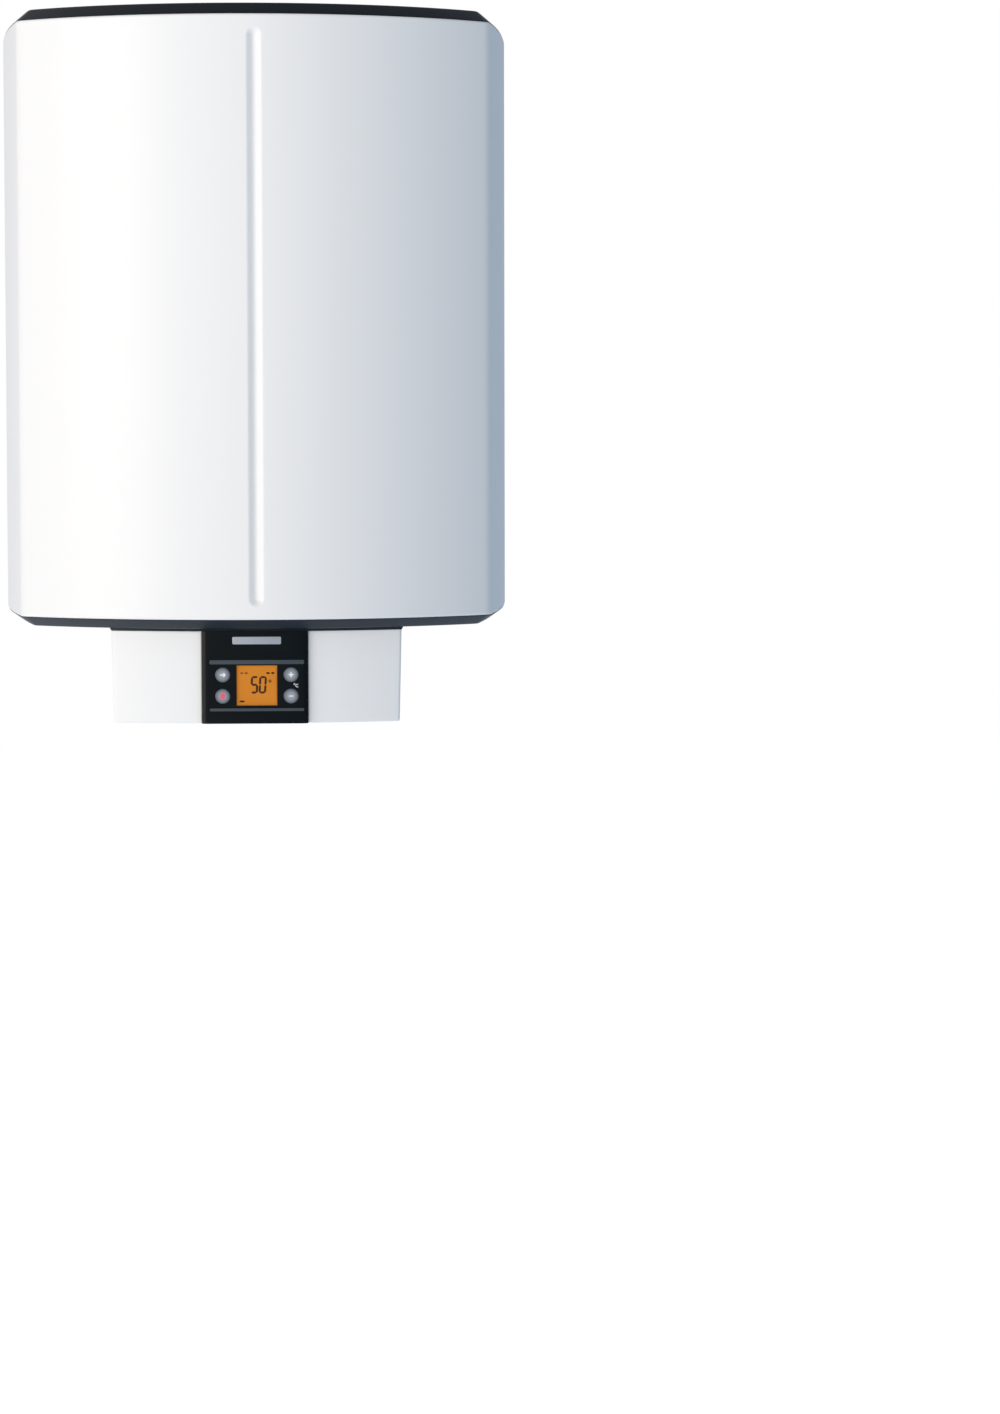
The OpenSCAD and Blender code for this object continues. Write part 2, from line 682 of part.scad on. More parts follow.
bar_w = 89.4;
bar_depth = 0.6;
bar_zs = [z_lid - 31.7, z_lid - 76.8];
bar_hs = [4, 2.8];
badge_w = 46;
badge_h = 7.2;
badge_z = z_lid - 11.2;
module inlay(w, h, z, grow, proud) {
    translate([-w / 2 - grow, panel_y - proud, z - h / 2 - grow])
        cube([w + 2 * grow, bar_depth + proud + grow, h + 2 * grow]);
}
module panel_inlays(grow) {
    for (i = [0, 1]) inlay(bar_w, bar_hs[i], bar_zs[i], grow, grow > 0 ? over : 0.2);
    inlay(badge_w, badge_h, badge_z, grow, grow > 0 ? over : 0.2);
}
module panel_bars() { color("slategray") for (i = [0, 1]) inlay(bar_w, bar_hs[i], bar_zs[i], 0, 0.2); }
module blank_badge() { color("silver") inlay(badge_w, badge_h, badge_z, 0, 0.2); }

module display_window() {
    color([0.95, 0.9, 0.8, 0.4]) translate([-window_w / 2, panel_y + 0.3, window_z - window_h / 2])
        cube([window_w, 1.5, window_h]);
}
board_y = panel_y + 12;                 // front of the display board
module display_module() {
    y0 = panel_y + panel_t + gap;
    color("orange") union() {
        translate([-window_w / 2 - 2, y0, window_z - window_h / 2 - 2])
            cube([window_w + 4, board_y - y0, window_h + 4]);
        translate([-window_w / 2 + 0.5, panel_y + 2, window_z - window_h / 2 + 0.5])
            cube([window_w - 1, 2, window_h - 1]);
    }
}
board_t = 1.6;
module display_board() {
    color("darkgreen") translate([panel_x - panel_w / 2 + 3.5, board_y, panel_z0 + 4])
        cube([panel_w - 7, board_t, panel_z1 - panel_z0 - 8]);
}
switch_gap = 0.3;                       // free space left when a button is fully pressed
switch_h = 4;
module tact_switches() {
    color("dimgray") for (sx = [-1, 1]) for (sz = [-1, 1]) at_button(sx, sz) {
        translate([-3, -3, board_y - panel_y - switch_h]) cube([6, 6, switch_h]);
        translate([0, 0, board_y - panel_y - switch_h - 0.8]) cylinder(r = 1.7, h = 0.8);
    }
}

button_proud = 0.8;
stem_end = board_y - panel_y - switch_h - 0.8 - switch_gap - button_travel;
module button(sx, sz) {
    color("lightslategray") at_button(sx, sz) union() {
        translate([0, 0, -button_proud]) cylinder(r = button_r, h = panel_t + button_proud + run_gap);
        translate([0, 0, panel_t + run_gap]) cylinder(r = button_r + 1.2, h = 1);
        translate([0, 0, panel_t]) cylinder(r = 2, h = stem_end - panel_t);
    }
}
module menu_button() { button(-1, 1); }
module boost_button() { button(-1, -1); }
module plus_button() { button(1, 1); }
module minus_button() { button(1, -1); }

// ---- Electronics on the floor of the control box
floor_z = z_box + box_t;
main_w = 150;
main_d = 80;
main_y = box_y0 + 30;                   // front edge of the main board
main_z = floor_z + 8;
main_top = main_z + board_t;

module standoff_places() {
    for (s = [-1, 1]) for (y = [main_y + 6, main_y + main_d - 6])
        translate([s * (main_w / 2 - 6), y, 0]) children();
}
module main_board() {
    color("darkgreen") difference() {
        translate([-main_w / 2, main_y, main_z]) cube([main_w, main_d, board_t]);
        standoff_places() translate([0, 0, main_z - over])
            cylinder(r = screw_r + gap, h = board_t + 2 * over);
    }
}
module board_standoffs() {
    color("white") standoff_places() difference() {
        translate([0, 0, floor_z]) cylinder(r = 3.5, h = 8);
        translate([0, 0, floor_z + over]) cylinder(r = screw_r, h = 8);
    }
}
module board_screws() {
    color("silver") standoff_places() {
        translate([0, 0, main_top]) cylinder(r = 2.8, h = 1.8);
        translate([0, 0, main_z - 5]) cylinder(r = screw_r - gap, h = 5 + board_t);
    }
}
relay = [19, 15.5, 15.5];
module board_relays() {
    color("royalblue") for (i = [0:2]) translate([-58 + 26 * i, main_y + 38, main_top])
        cube(relay);
}
transformer = [38, 32, 22];             // its winding stands on a foot and is narrower by both ledges
transformer_foot = 6;
transformer_ledge = 4;
module board_transformer() {
    color("goldenrod") translate([26, main_y + 26, main_top]) {
        cube([transformer.x, transformer.y, transformer_foot]);
        translate([transformer_ledge, 0, transformer_foot])
            cube([transformer.x - 2 * transformer_ledge, transformer.y, transformer.z - transformer_foot]);
    }
}
capacitor_r = 7;
capacitor_h = 20;
module board_capacitors() {
    color("black") for (i = [0:2]) translate([-50 + 22 * i, main_y + 18, main_top])
        cylinder(r = capacitor_r, h = capacitor_h);
}
connector_y = main_y + main_d - 14;
connector_h = 11;
module board_connector() {
    color("forestgreen") translate([-45, connector_y, main_top]) cube([90, 9, connector_h]);
}
// Flat cable from the display board down to the main board, bent once.
module display_ribbon() {
    y0 = board_y + board_t;
    color("lightgray") translate([12, 0, 0]) rotate([90, 0, 90]) linear_extrude(24) polygon([
        [y0, main_top + 14], [y0 + 10, main_top + 14], [main_y + 8, main_top + 4], [main_y + 8, main_top],
        [main_y + 9, main_top], [main_y + 9, main_top + 4.4],
        [y0 + 10.4, main_top + 15], [y0, main_top + 15]]);
}

block_x = 70;
block_y = box_y1 - 62;
block_h = 18;
module terminal_block() {
    color("ivory") difference() {
        translate([block_x, block_y, floor_z]) cube([46, 20, block_h]);
        for (i = [0:2]) translate([block_x + 8 + 15 * i, block_y + 10, floor_z + block_h - 8])
            cylinder(r = 3, h = 9);
    }
}
module terminal_screws() {
    color("gold") for (i = [0:2]) translate([block_x + 8 + 15 * i, block_y + 10, floor_z + block_h - 8])
        cylinder(r = 2.8, h = 5);
}

limiter_x = -112;
limiter_y = tank_y - 40;
limiter_z = floor_z + 6;
reset_r = 3;
reset_travel = 2;
module limiter_body() {
    color("dimgray") difference() {
        union() {
            translate([limiter_x, limiter_y, limiter_z]) cube([34, 30, 26]);
            translate([limiter_x, limiter_y + 4, floor_z]) cube([34, 3, 6]);
            translate([limiter_x, limiter_y + 23, floor_z]) cube([34, 3, 6]);
        }
        translate([limiter_x + 17, limiter_y - over, limiter_z + 13]) rotate([-90, 0, 0])
            cylinder(r = reset_r + run_gap, h = 12 + over);
    }
}
module limiter_reset() {
    color("firebrick") translate([limiter_x + 17, limiter_y - 4, limiter_z + 13]) rotate([-90, 0, 0])
        cylinder(r = reset_r, h = 13);
}

// ---- Leads inside the control box, each along a route of its own
lead_r = 1.5;
module element_leads() {
    y0 = connector_y + 9;
    color("black") for (i = [0:2]) let (x = 14 * i - 4, y = tank_y + leg_rows[i]) lead([
        [x, y0, main_top + 5], [x, y0 + 7, main_top + 5], [x, y0 + 17, main_top + 20],
        [leg_x + 8 * i, y - 14, pin_z - 22], [leg_x, y, pin_z - 8], [leg_x, y, pin_z]], lead_r);
    y = tank_y + leg_rows[0];
    color("royalblue") lead([
        [-30, y0, main_top + 5], [-30, y0 + 7, main_top + 5], [-30, y0 + 17, main_top + 20],
        [-22, y - 16, pin_z - 20], [-leg_x, y, pin_z - bridge_t - 8],
        [-leg_x, y, pin_z - bridge_t]], lead_r);
}
module mains_lead() {
    color("saddlebrown") lead([
        [block_x + 8, block_y, floor_z + 6], [block_x + 8, block_y - 10, floor_z + 6],
        [block_x - 5, block_y - 60, floor_z + 8], [50, main_y + main_d + 26, floor_z + 8],
        [30, main_y + main_d + 12, floor_z + 12], [40, connector_y + 16, main_top + 5],
        [40, connector_y + 9, main_top + 5]], lead_r);
}
module earth_lead() {
    color("limegreen") lead([
        [block_x + 38, block_y, floor_z + 6], [block_x + 38, block_y - 10, floor_z + 6],
        [block_x + 10, tank_y - 30, floor_z + 30], [40, tank_y - 66, pin_z - 20],
        [4, tank_y + stud_y, pin_z - 18], [0, tank_y + stud_y, pin_z - 8],
        [0, tank_y + stud_y, plate_z - stud_l]], lead_r);
}
module sensor_lead() {
    color("white") lead([
        [well_x - probe_dx, tank_y, plate_z], [well_x - probe_dx, tank_y, plate_z - 14],
        [44, tank_y - 14, z_lid - 20], [60, tank_y - 60, floor_z + 40],
        [62, main_y + main_d + 4, main_top + 22], [62, main_y + main_d - 16, main_top + 8],
        [62, main_y + main_d - 16, main_top]], 1);
}
module limiter_capillary() {
    color("orange") lead([
        [well_x + probe_dx, tank_y, plate_z], [well_x + probe_dx, tank_y, plate_z - 14],
        [52, tank_y + 20, z_lid - 22], [30, tank_y + 50, z_lid - 36], [-30, tank_y + 56, z_lid - 40],
        [-80, tank_y + 30, limiter_z + 26 + 14], [limiter_x + 20, limiter_y + 20, limiter_z + 26 + 6],
        [limiter_x + 20, limiter_y + 20, limiter_z + 26]], 0.8);
}

// ---- Cable entry in the box's rear wall; the cable itself is left out
cable_r = 5;
module cable_gland() {
    color("gray") gland_at() difference() {
        union() {
            translate([0, 0, -12]) cylinder(r = gland_r, h = 12 + 12);
            cylinder(r = 14, h = 5, $fn = 6);
        }
        translate([0, 0, -12 - over]) cylinder(r = cable_r + 2, h = 26 + over);
    }
}
module gland_seal() {
    color("black") gland_at() translate([0, 0, 4]) difference() {
        cylinder(r = cable_r + 2 - gap, h = 12);
        translate([0, 0, -over]) cylinder(r = cable_r, h = 12 + 2 * over);
    }
}
module gland_nut() {
    color("gray") gland_at() translate([0, 0, 6]) difference() {
        union() {
            cylinder(r = 14, h = 7, $fn = 6);
            cylinder(r = 12, h = 13);
        }
        translate([0, 0, -over]) cylinder(r = gland_r + gap, h = 7 + over);
        translate([0, 0, -over]) cylinder(r = cable_r + 2 + gap, h = 13 + 2 * over);
    }
}
module gland_lock_nut() {
    color("gray") gland_at() translate([0, 0, -box_t - 5]) difference() {
        cylinder(r = 14, h = 5, $fn = 6);
        translate([0, 0, -over]) cylinder(r = gland_r + gap, h = 5 + 2 * over);
    }
}

front_shell();
rear_panel();
seam_rivets();
top_lid();
bottom_lid();
foam_insulation();
inner_tank();
flange_gasket();
flange_plate();
flange_screws();
heating_elements();
element_terminals();
thermowell();
temperature_probe();
limiter_bulb();
anode_rod();
anode_plug();
cold_inlet_pipe();
inlet_diffuser();
hot_outlet_pipe();
cold_collar();
hot_collar();
wall_bracket();
wall_buffers();
buffer_screws();
control_housing();
housing_screws();
control_panel();
panel_bars();
blank_badge();
display_window();
display_module();
display_board();
tact_switches();
menu_button();
boost_button();
plus_button();
minus_button();
main_board();
board_standoffs();
board_screws();
board_relays();
board_transformer();
board_capacitors();
board_connector();
display_ribbon();
terminal_block();
terminal_screws();
limiter_body();
limiter_reset();
earth_stud();
element_leads();
earth_lead();
sensor_lead();
limiter_capillary();
mains_lead();
cable_gland();
gland_seal();
gland_nut();
gland_lock_nut();
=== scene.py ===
# %% [markdown]
# # A wall-hung storage water heater
# The heater is a white D-shaped steel casing between two dark moulded lids, with a white control
# box below that carries a black panel, an amber display and four keys. Everything that can be seen
# gets a surface of its own, worked out with numpy on the frame that the CAD model gives; what lies
# inside keeps its CAD shape and gets a material.

import bmesh
import bpy
import numpy as np
from mathutils import Matrix, Vector, geometry


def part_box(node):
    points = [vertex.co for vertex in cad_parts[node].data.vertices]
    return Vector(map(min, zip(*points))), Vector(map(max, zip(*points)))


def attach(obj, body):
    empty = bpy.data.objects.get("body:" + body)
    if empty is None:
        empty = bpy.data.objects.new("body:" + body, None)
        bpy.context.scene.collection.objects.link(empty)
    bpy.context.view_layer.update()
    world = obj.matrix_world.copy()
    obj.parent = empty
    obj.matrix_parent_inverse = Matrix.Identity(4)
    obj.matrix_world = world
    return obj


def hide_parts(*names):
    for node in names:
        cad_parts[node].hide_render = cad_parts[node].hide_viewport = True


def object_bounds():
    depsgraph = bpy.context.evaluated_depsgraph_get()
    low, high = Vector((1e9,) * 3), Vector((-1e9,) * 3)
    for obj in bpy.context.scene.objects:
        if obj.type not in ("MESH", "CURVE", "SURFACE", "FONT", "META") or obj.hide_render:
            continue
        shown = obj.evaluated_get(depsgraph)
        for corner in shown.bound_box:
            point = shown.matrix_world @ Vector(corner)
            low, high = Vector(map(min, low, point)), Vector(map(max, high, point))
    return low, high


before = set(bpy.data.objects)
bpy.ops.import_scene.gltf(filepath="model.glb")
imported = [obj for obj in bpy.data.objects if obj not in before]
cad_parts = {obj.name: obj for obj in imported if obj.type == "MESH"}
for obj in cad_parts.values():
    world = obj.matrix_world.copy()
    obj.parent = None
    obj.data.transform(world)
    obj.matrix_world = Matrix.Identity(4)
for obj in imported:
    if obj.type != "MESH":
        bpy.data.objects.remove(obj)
cad_low, cad_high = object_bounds()
MM = 0.001
BODY = "heater"

shell_low, shell_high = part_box("front_shell")
y_front, y_back = shell_low.y, shell_high.y
z_bot, z_top = shell_low.z, shell_high.z
casing_w = shell_high.x - shell_low.x
casing_d = y_back - y_front
tank_y = (y_front + y_back) / 2
print(f"casing {casing_w / MM:.0f} x {casing_d / MM:.0f} x {(z_top - z_bot) / MM:.0f} mm")

# %% [markdown]
# ## From arrays to meshes
# A sheet-metal or moulded surface is a function of two parameters, so its points form a grid. One
# helper turns a grid into faces, one fills a flat outline that may have holes, and one joins such
# patches into a closed piece. Merging the doubled points afterwards closes the seams and the poles.


# %% Patches: grids, flat fills, and the joining of them
def grid(points, closed_u=False, closed_v=False):
    """Faces between neighbours of an array (u, v, 3). They face along du x dv."""
    points = np.asarray(points, float)
    index = np.arange(points.shape[0] * points.shape[1]).reshape(points.shape[:2])
    if closed_u:
        index = np.vstack([index, index[:1]])
    if closed_v:
        index = np.hstack([index, index[:, :1]])
    corners = [index[:-1, :-1], index[1:, :-1], index[1:, 1:], index[:-1, 1:]]
    return points.reshape(-1, 3), np.stack(corners, -1).reshape(-1, 4).tolist()


def flat(loops, up):
    """Fills the first loop of points, less the loops after it, with triangles that face along up."""
    points = np.concatenate(loops)
    triangles = np.array(geometry.tessellate_polygon([[Vector(p) for p in loop] for loop in loops]))
    a, b, c = (points[triangles[:, k]] for k in range(3))
    backward = np.cross(b - a, c - a) @ np.asarray(up, float) < 0
    triangles[backward] = triangles[backward][:, ::-1]
    return points, triangles.tolist()


def build(name, patches, material, body=BODY, stands_for=(), sharp=32):
    """Joins patches into one piece, merges what they share, and shades it smooth up to an angle."""
    start = np.cumsum([0] + [len(p) for p, _ in patches])
    faces = [[i + s for i in face] for (_, fs), s in zip(patches, start) for face in fs]
    mesh = bpy.data.meshes.new(name)
    mesh.from_pydata(np.concatenate([p for p, _ in patches]), [], faces)
    return dress(mesh, name, material, body, stands_for, sharp)


def dress(mesh, name, material, body, stands_for, sharp):
    """Merges a mesh's doubles, shades it, and puts it on its body with its material."""
    work = bmesh.new()
    work.from_mesh(mesh)
    bmesh.ops.remove_doubles(work, verts=work.verts, dist=1e-6)
    bmesh.ops.dissolve_degenerate(work, edges=work.edges, dist=1e-7)
    for edge in work.edges:
        edge.smooth = not (edge.is_manifold and edge.calc_face_angle(0) > np.radians(sharp))
    for face in work.faces:
        face.smooth = True
    work.to_mesh(mesh)
    work.free()
    piece = bpy.data.objects.new(name, mesh)
    bpy.context.scene.collection.objects.link(piece)
    mesh.materials.append(material)
    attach(piece, body)
    if stands_for:
        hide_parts(*stands_for)
    print(f"{name}: {len(mesh.polygons)} faces")
    return piece


def softened(node, material, width=0.4 * MM, body=BODY):
    """A copy of a CAD node whose flat faces are whole again, with a small bevel on its edges."""
    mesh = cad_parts[node].data.copy()
    mesh.materials.clear()
    work = bmesh.new()
    work.from_mesh(mesh)
    bmesh.ops.remove_doubles(work, verts=work.verts, dist=1e-6)
    bmesh.ops.dissolve_limit(work, angle_limit=np.radians(1), verts=work.verts, edges=work.edges)
    work.to_mesh(mesh)
    work.free()
    piece = dress(mesh, node + "_soft", material, body, [node], 32)
    bevel = piece.modifiers.new("edges", "BEVEL")
    bevel.width = width
    bevel.segments = 2
    bevel.angle_limit = np.radians(35)
    bevel.harden_normals = True
    return piece


# %% [markdown]
# ## Shader maths as expressions
# A wrapped socket can be added, multiplied and raised to a power like a number, and each operation
# adds its Math node. Everything else, from noise to bump, is added by one method of the tree.


# %% Sockets that can be calculated with
class Value:
    """A socket of a node tree. Operators between values, or a value and a number, add Math nodes."""

    def __init__(self, tree, socket):
        self.tree = tree
        self.socket = socket

    def maths(self, operation, *others):
        return self.tree.add("ShaderNodeMath", {"operation": operation}, *([self] + list(others)))

    def __add__(self, other):
        return self.maths("ADD", other)

    def __mul__(self, other):
        return self.maths("MULTIPLY", other)

    def __sub__(self, other):
        return self.maths("SUBTRACT", other)

    def __rsub__(self, other):
        return self.tree.add("ShaderNodeMath", {"operation": "SUBTRACT"}, other, self)

    def __truediv__(self, other):
        return self.maths("DIVIDE", other)

    def __pow__(self, other):
        return self.maths("POWER", other)

    def __abs__(self):
        return self.maths("ABSOLUTE")

    __radd__ = __add__
    __rmul__ = __mul__


class Tree:
    """A node tree with one way of adding nodes: their kind, their settings, then their sockets."""

    def __init__(self, owner):
        owner.use_nodes = True
        self.nodes = owner.node_tree.nodes
        self.links = owner.node_tree.links

    def join(self, value, socket):
        if isinstance(value, Value):
            self.links.new(value.socket, socket)
        else:
            socket.default_value = value

    def add(self, kind, settings=None, *inputs, out=0, **named):
        node = self.nodes.new(kind)
        for name, setting in (settings or {}).items():
            setattr(node, name, setting)
        for socket, value in zip(node.inputs, inputs):
            self.join(value, socket)
        for name, value in named.items():
            self.join(value, node.inputs[name.replace("_", " ")])
        return Value(self, node.outputs[out])


class Finish(Tree):
    """A material round one Principled shader. Constants are set on the shader's own sockets."""

    def __init__(self, name, colour, roughness, metallic=0.0, coat=0.0, **constants):
        self.material = bpy.data.materials.new(name)
        super().__init__(self.material)
        self.shader = self.nodes["Principled BSDF"]
        self.colour = colour
        self.set("Base Color", (*colour, 1))
        self.set("Roughness", roughness)
        self.set("Metallic", metallic)
        self.set("Coat Weight", coat)
        for socket, value in constants.items():
            self.set(socket.replace("_", " "), value)
        self.place = self.add("ShaderNodeTexCoord", out=3)

    def set(self, socket, value):
        self.join(value, self.shader.inputs[socket])

    def noise(self, scale, detail=2.0, stretch=None):
        """Noise in metres: scale is its waves per metre, and stretch multiplies it along x, y, z."""
        place = self.place
        if stretch:
            place = self.add("ShaderNodeMapping", None, place, Scale=stretch)
        return self.add("ShaderNodeTexNoise", None, Vector=place, Scale=scale, Detail=detail)

    def tint(self, mask, other):
        """Turns the base colour towards another by a mask."""
        mixed = self.add("ShaderNodeMix", {"data_type": "RGBA"}, out=2)
        node = mixed.socket.node
        self.join(mask, node.inputs[0])
        node.inputs[6].default_value = (*self.colour, 1)
        node.inputs[7].default_value = (*other, 1)
        self.set("Base Color", mixed)

    def relief(self, height, depth):
        """Bump whose height runs from 0 to 1 over a depth in metres."""
        self.set("Normal", self.add("ShaderNodeBump", None, Distance=depth, Height=height))


# %% [markdown]
# ## Finishes
# The casing is powder-coated steel: satin white with the faint unevenness of baked powder. The lids
# are both grained navy polypropylene; the lower one is given a lighter slate colour as painted light,
# for the brighter light that its downward-facing rim catches. The panel is polished acrylic. Metals
# differ by how they were worked: rolled zinc shows spangle, drawn tube shows fine lines along it.


# %% Coatings and plastics
def powder_coat(name, colour):
    """Baked powder: faint orange peel, and clouds that are one and a half per cent darker."""
    finish = Finish(name, colour, 0.34, Specular_IOR_Level=0.5)
    finish.relief(finish.noise(260, 2), 0.05 * MM)
    cloud = finish.noise(3.0, 3)
    finish.tint(cloud, [c * 0.985 for c in colour])
    finish.set("Roughness", 0.30 + 0.08 * finish.noise(40))
    return finish.material


def moulded(name, colour, roughness, grain=900, depth=0.03, coat=0.0, level=0.5):
    """Moulded plastic or rubber: a grain with its waves per metre and its depth in millimetres."""
    finish = Finish(name, colour, roughness, coat=coat, Specular_IOR_Level=level)
    finish.relief(finish.noise(grain, 3), depth * MM)
    finish.tint(finish.noise(25, 3), [c * 0.88 for c in colour])
    finish.set("Roughness", roughness - 0.04 + 0.08 * finish.noise(60, 4))
    return finish.material


def polished(name, colour, roughness=0.08):
    """A polished sheet that is not quite flat."""
    finish = Finish(name, colour, roughness, Specular_IOR_Level=0.14)
    finish.set("Roughness", roughness + 0.05 * finish.noise(18, 4))
    finish.relief(finish.noise(30, 1), 0.01 * MM)
    return finish.material


def rolled_zinc(name, colour):
    """Zinc-plated sheet: patches of spangle, streaked along the rolling direction."""
    finish = Finish(name, colour, 0.42, metallic=0.85)
    spangle = finish.add("ShaderNodeTexVoronoi", None, Vector=finish.place, Scale=90.0)
    streak = finish.noise(60, 3, (1, 1, 12))
    finish.tint(streak, [c * 0.82 for c in colour])
    finish.set("Roughness", 0.36 + 0.16 * spangle)
    finish.relief(finish.noise(500, 2), 0.02 * MM)
    return finish.material


def drawn_metal(name, colour, roughness=0.24, metallic=1.0, lines=(1, 1, 0.04)):
    """Drawn or turned metal: noise stretched into lines along one axis."""
    finish = Finish(name, colour, roughness, metallic=metallic)
    finish.relief(finish.noise(1800, 2, lines), 0.015 * MM)
    finish.set("Roughness", roughness - 0.05 + 0.12 * finish.noise(120, 3))
    finish.tint(finish.noise(45, 3), [c * 0.9 for c in colour])
    return finish.material


white_steel = powder_coat("white_steel", (0.83, 0.835, 0.84))
white_plastic = powder_coat("white_plastic", (0.83, 0.835, 0.84))
navy_plastic = moulded("navy_plastic", (0.0050, 0.0072, 0.0115), 0.38, level=0.26)
# Painted light: the lower lid is the upper lid's navy moulding made lighter, to stand in for the light its
# downward-facing rim catches.
navy_with_painted_light = moulded("navy_with_painted_light", (0.020, 0.028, 0.039), 0.4, level=0.2)
black_acrylic = polished("black_acrylic", (0.0022, 0.0045, 0.006), 0.12)
slate_print = moulded("slate_print", (0.040, 0.054, 0.068), 0.4, depth=0.01)
glyph_white = moulded("glyph_white", (0.86, 0.87, 0.88), 0.4, depth=0.005)
glyph_red = moulded("glyph_red", (0.86, 0.10, 0.16), 0.4, depth=0.005)
rubber = moulded("rubber", (0.02, 0.02, 0.021), 0.75, grain=600, depth=0.06)
nylon = moulded("nylon", (0.20, 0.205, 0.21), 0.5)
zinc_steel = rolled_zinc("zinc_steel", (0.60, 0.61, 0.62))
tube_metal = drawn_metal("tube_metal", (0.70, 0.71, 0.72))
blank_metal = drawn_metal("blank_metal", (0.62, 0.63, 0.65), 0.3, lines=(0.02, 1, 1))
brass = drawn_metal("brass", (0.72, 0.53, 0.22), 0.28)
copper = drawn_metal("copper", (0.75, 0.38, 0.24), 0.34)
tank_enamel = powder_coat("tank_enamel", (0.03, 0.08, 0.16))
magnesium = drawn_metal("magnesium", (0.42, 0.42, 0.42), 0.62, 0.7)
foam_skin = moulded("foam_skin", (0.72, 0.58, 0.26), 0.85, grain=300, depth=0.5)
ivory = moulded("ivory", (0.74, 0.70, 0.58), 0.5)
board_green = moulded("board_green", (0.012, 0.09, 0.035), 0.35, coat=0.5)
black_parts = moulded("black_parts", (0.014, 0.014, 0.015), 0.5)
blue_plastic = moulded("blue_plastic", (0.02, 0.10, 0.42), 0.4)
red_plastic = moulded("red_plastic", (0.45, 0.015, 0.015), 0.4)
winding = moulded("winding", (0.48, 0.30, 0.05), 0.45)
print(f"{len(bpy.data.materials)} materials so far")

# %% [markdown]
# ## The plan of the casing
# Seen from above the casing is a D: a broad front arc, a tight upright crease, a nearly straight side
# and a rounded rear corner, each tangent to the next. Every point is kept as an arc's centre, its
# radius and the direction outwards, so an outline further in only needs a smaller radius.

# %% The D-shaped plan as arcs
FRONT_R = 325 * MM
CREASE_R = 24 * MM
REAR_R = 30 * MM
SIDE_ANGLE = np.radians(80.9)

side_s, side_c = np.sin(SIDE_ANGLE), np.cos(SIDE_ANGLE)
across = casing_w / 2 - CREASE_R * side_s
along = casing_d - REAR_R - FRONT_R + CREASE_R * side_c
half_m = across * (1 - side_s) + along * side_c
half_n = across**2 + along**2 - (FRONT_R - CREASE_R) ** 2
side_r = (half_m + np.sqrt(half_m**2 - 2 * (1 - side_s) * half_n)) / (2 * (1 - side_s))
front_angle = np.arctan2(across - side_r * (1 - side_s), side_r * side_c - along)


def toward(angle):
    """Directions in the plan, turning from straight ahead (-Y) towards +X."""
    return np.stack([np.sin(angle), -np.cos(angle)], -1)


front_centre = np.array([0, y_front + FRONT_R])
crease_centre = front_centre + (FRONT_R - CREASE_R) * toward(front_angle)
side_centre = crease_centre - (side_r - CREASE_R) * toward(SIDE_ANGLE)
rear_centre = np.array([casing_w / 2 - REAR_R, y_back - REAR_R])


def plan(front_steps, rear_end):
    """(centres, radii, directions) round the D, from the left rear end over the front to the right.

    Each arc gives points centre + radius * direction; the straight rear has radius 0 and its own
    centres. The left half mirrors the right.
    """
    stretches = [
        (front_centre, FRONT_R, front_steps),
        (crease_centre, CREASE_R, np.linspace(front_angle, SIDE_ANGLE, 12)[1:]),
        (side_centre, side_r, np.linspace(SIDE_ANGLE, np.pi / 2, 12)[1:]),
        (rear_centre, REAR_R, np.linspace(np.pi / 2, np.pi, 14)[1:]),
    ]
    centres = np.concatenate([np.tile(c, (len(a), 1)) for c, _, a in stretches])
    radii = np.concatenate([np.full(len(a), r) for _, r, a in stretches])
    aims = np.concatenate([toward(a) for _, _, a in stretches])
    straight = np.linspace(rear_centre[0], rear_end, 12)[1:]
    centres = np.concatenate([centres, np.stack([straight, np.full(11, y_back)], -1)])
    radii = np.append(radii, np.zeros(11))
    aims = np.concatenate([aims, np.tile([0.0, 1.0], (11, 1))])
    mirror = np.array([-1, 1])
    keep = slice(1, None) if rear_end > 0 else slice(1, -1)
    return (
        np.concatenate([(centres[keep] * mirror)[::-1], centres]),
        np.concatenate([radii[keep][::-1], radii]),
        np.concatenate([(aims[keep] * mirror)[::-1], aims]),
    )


def outline(of_plan, inset):
    """The plan's points, moved inwards by an inset that may be an array over a second axis."""
    centres, radii, aims = of_plan
    inset = np.atleast_1d(inset)
    return centres[:, None] + (radii[:, None] - inset[None])[..., None] * aims[:, None]


def rings(of_plan, inset, z, scale=1.0):
    """Grid (round the plan, along a profile): each ring has its inset, its height and its scale."""
    inset, z, scale = np.broadcast_arrays(inset, z, scale)
    axis = np.array([0, tank_y])
    flat_points = axis + scale[None, :, None] * (outline(of_plan, inset) - axis)
    heights = np.broadcast_to(z[None, :, None], (*flat_points.shape[:2], 1))
    return np.concatenate([flat_points, heights], -1)


print(f"side radius {side_r / MM:.0f} mm, front arc to {np.degrees(front_angle):.1f} degrees")

# %% [markdown]
# ## Profiles with rounded corners
# Most edges are seen as a thin bright line, because a real edge has a radius. A profile is drawn as
# a few corner points, and each corner is replaced by an arc that touches both its sides.


# %% Rounding a profile
def rounded(corners, radii, steps=6):
    """The open line through corners, each inner corner replaced by a curve that starts and ends one
    radius away from it: the quadratic blend (1-t)^2 start + 2t(1-t) corner + t^2 end."""
    corners = np.asarray(corners, float)
    line = [corners[:1]]
    t = np.linspace(0, 1, steps)[:, None]
    for before, corner, after, r in zip(corners, corners[1:], corners[2:], radii):
        start = corner + (before - corner) * min(r / np.linalg.norm(before - corner), 0.5)
        end = corner + (after - corner) * min(r / np.linalg.norm(after - corner), 0.5)
        line.append((1 - t) ** 2 * start + 2 * t * (1 - t) * corner + t**2 * end)
    line.append(corners[-1:])
    return np.concatenate(line)


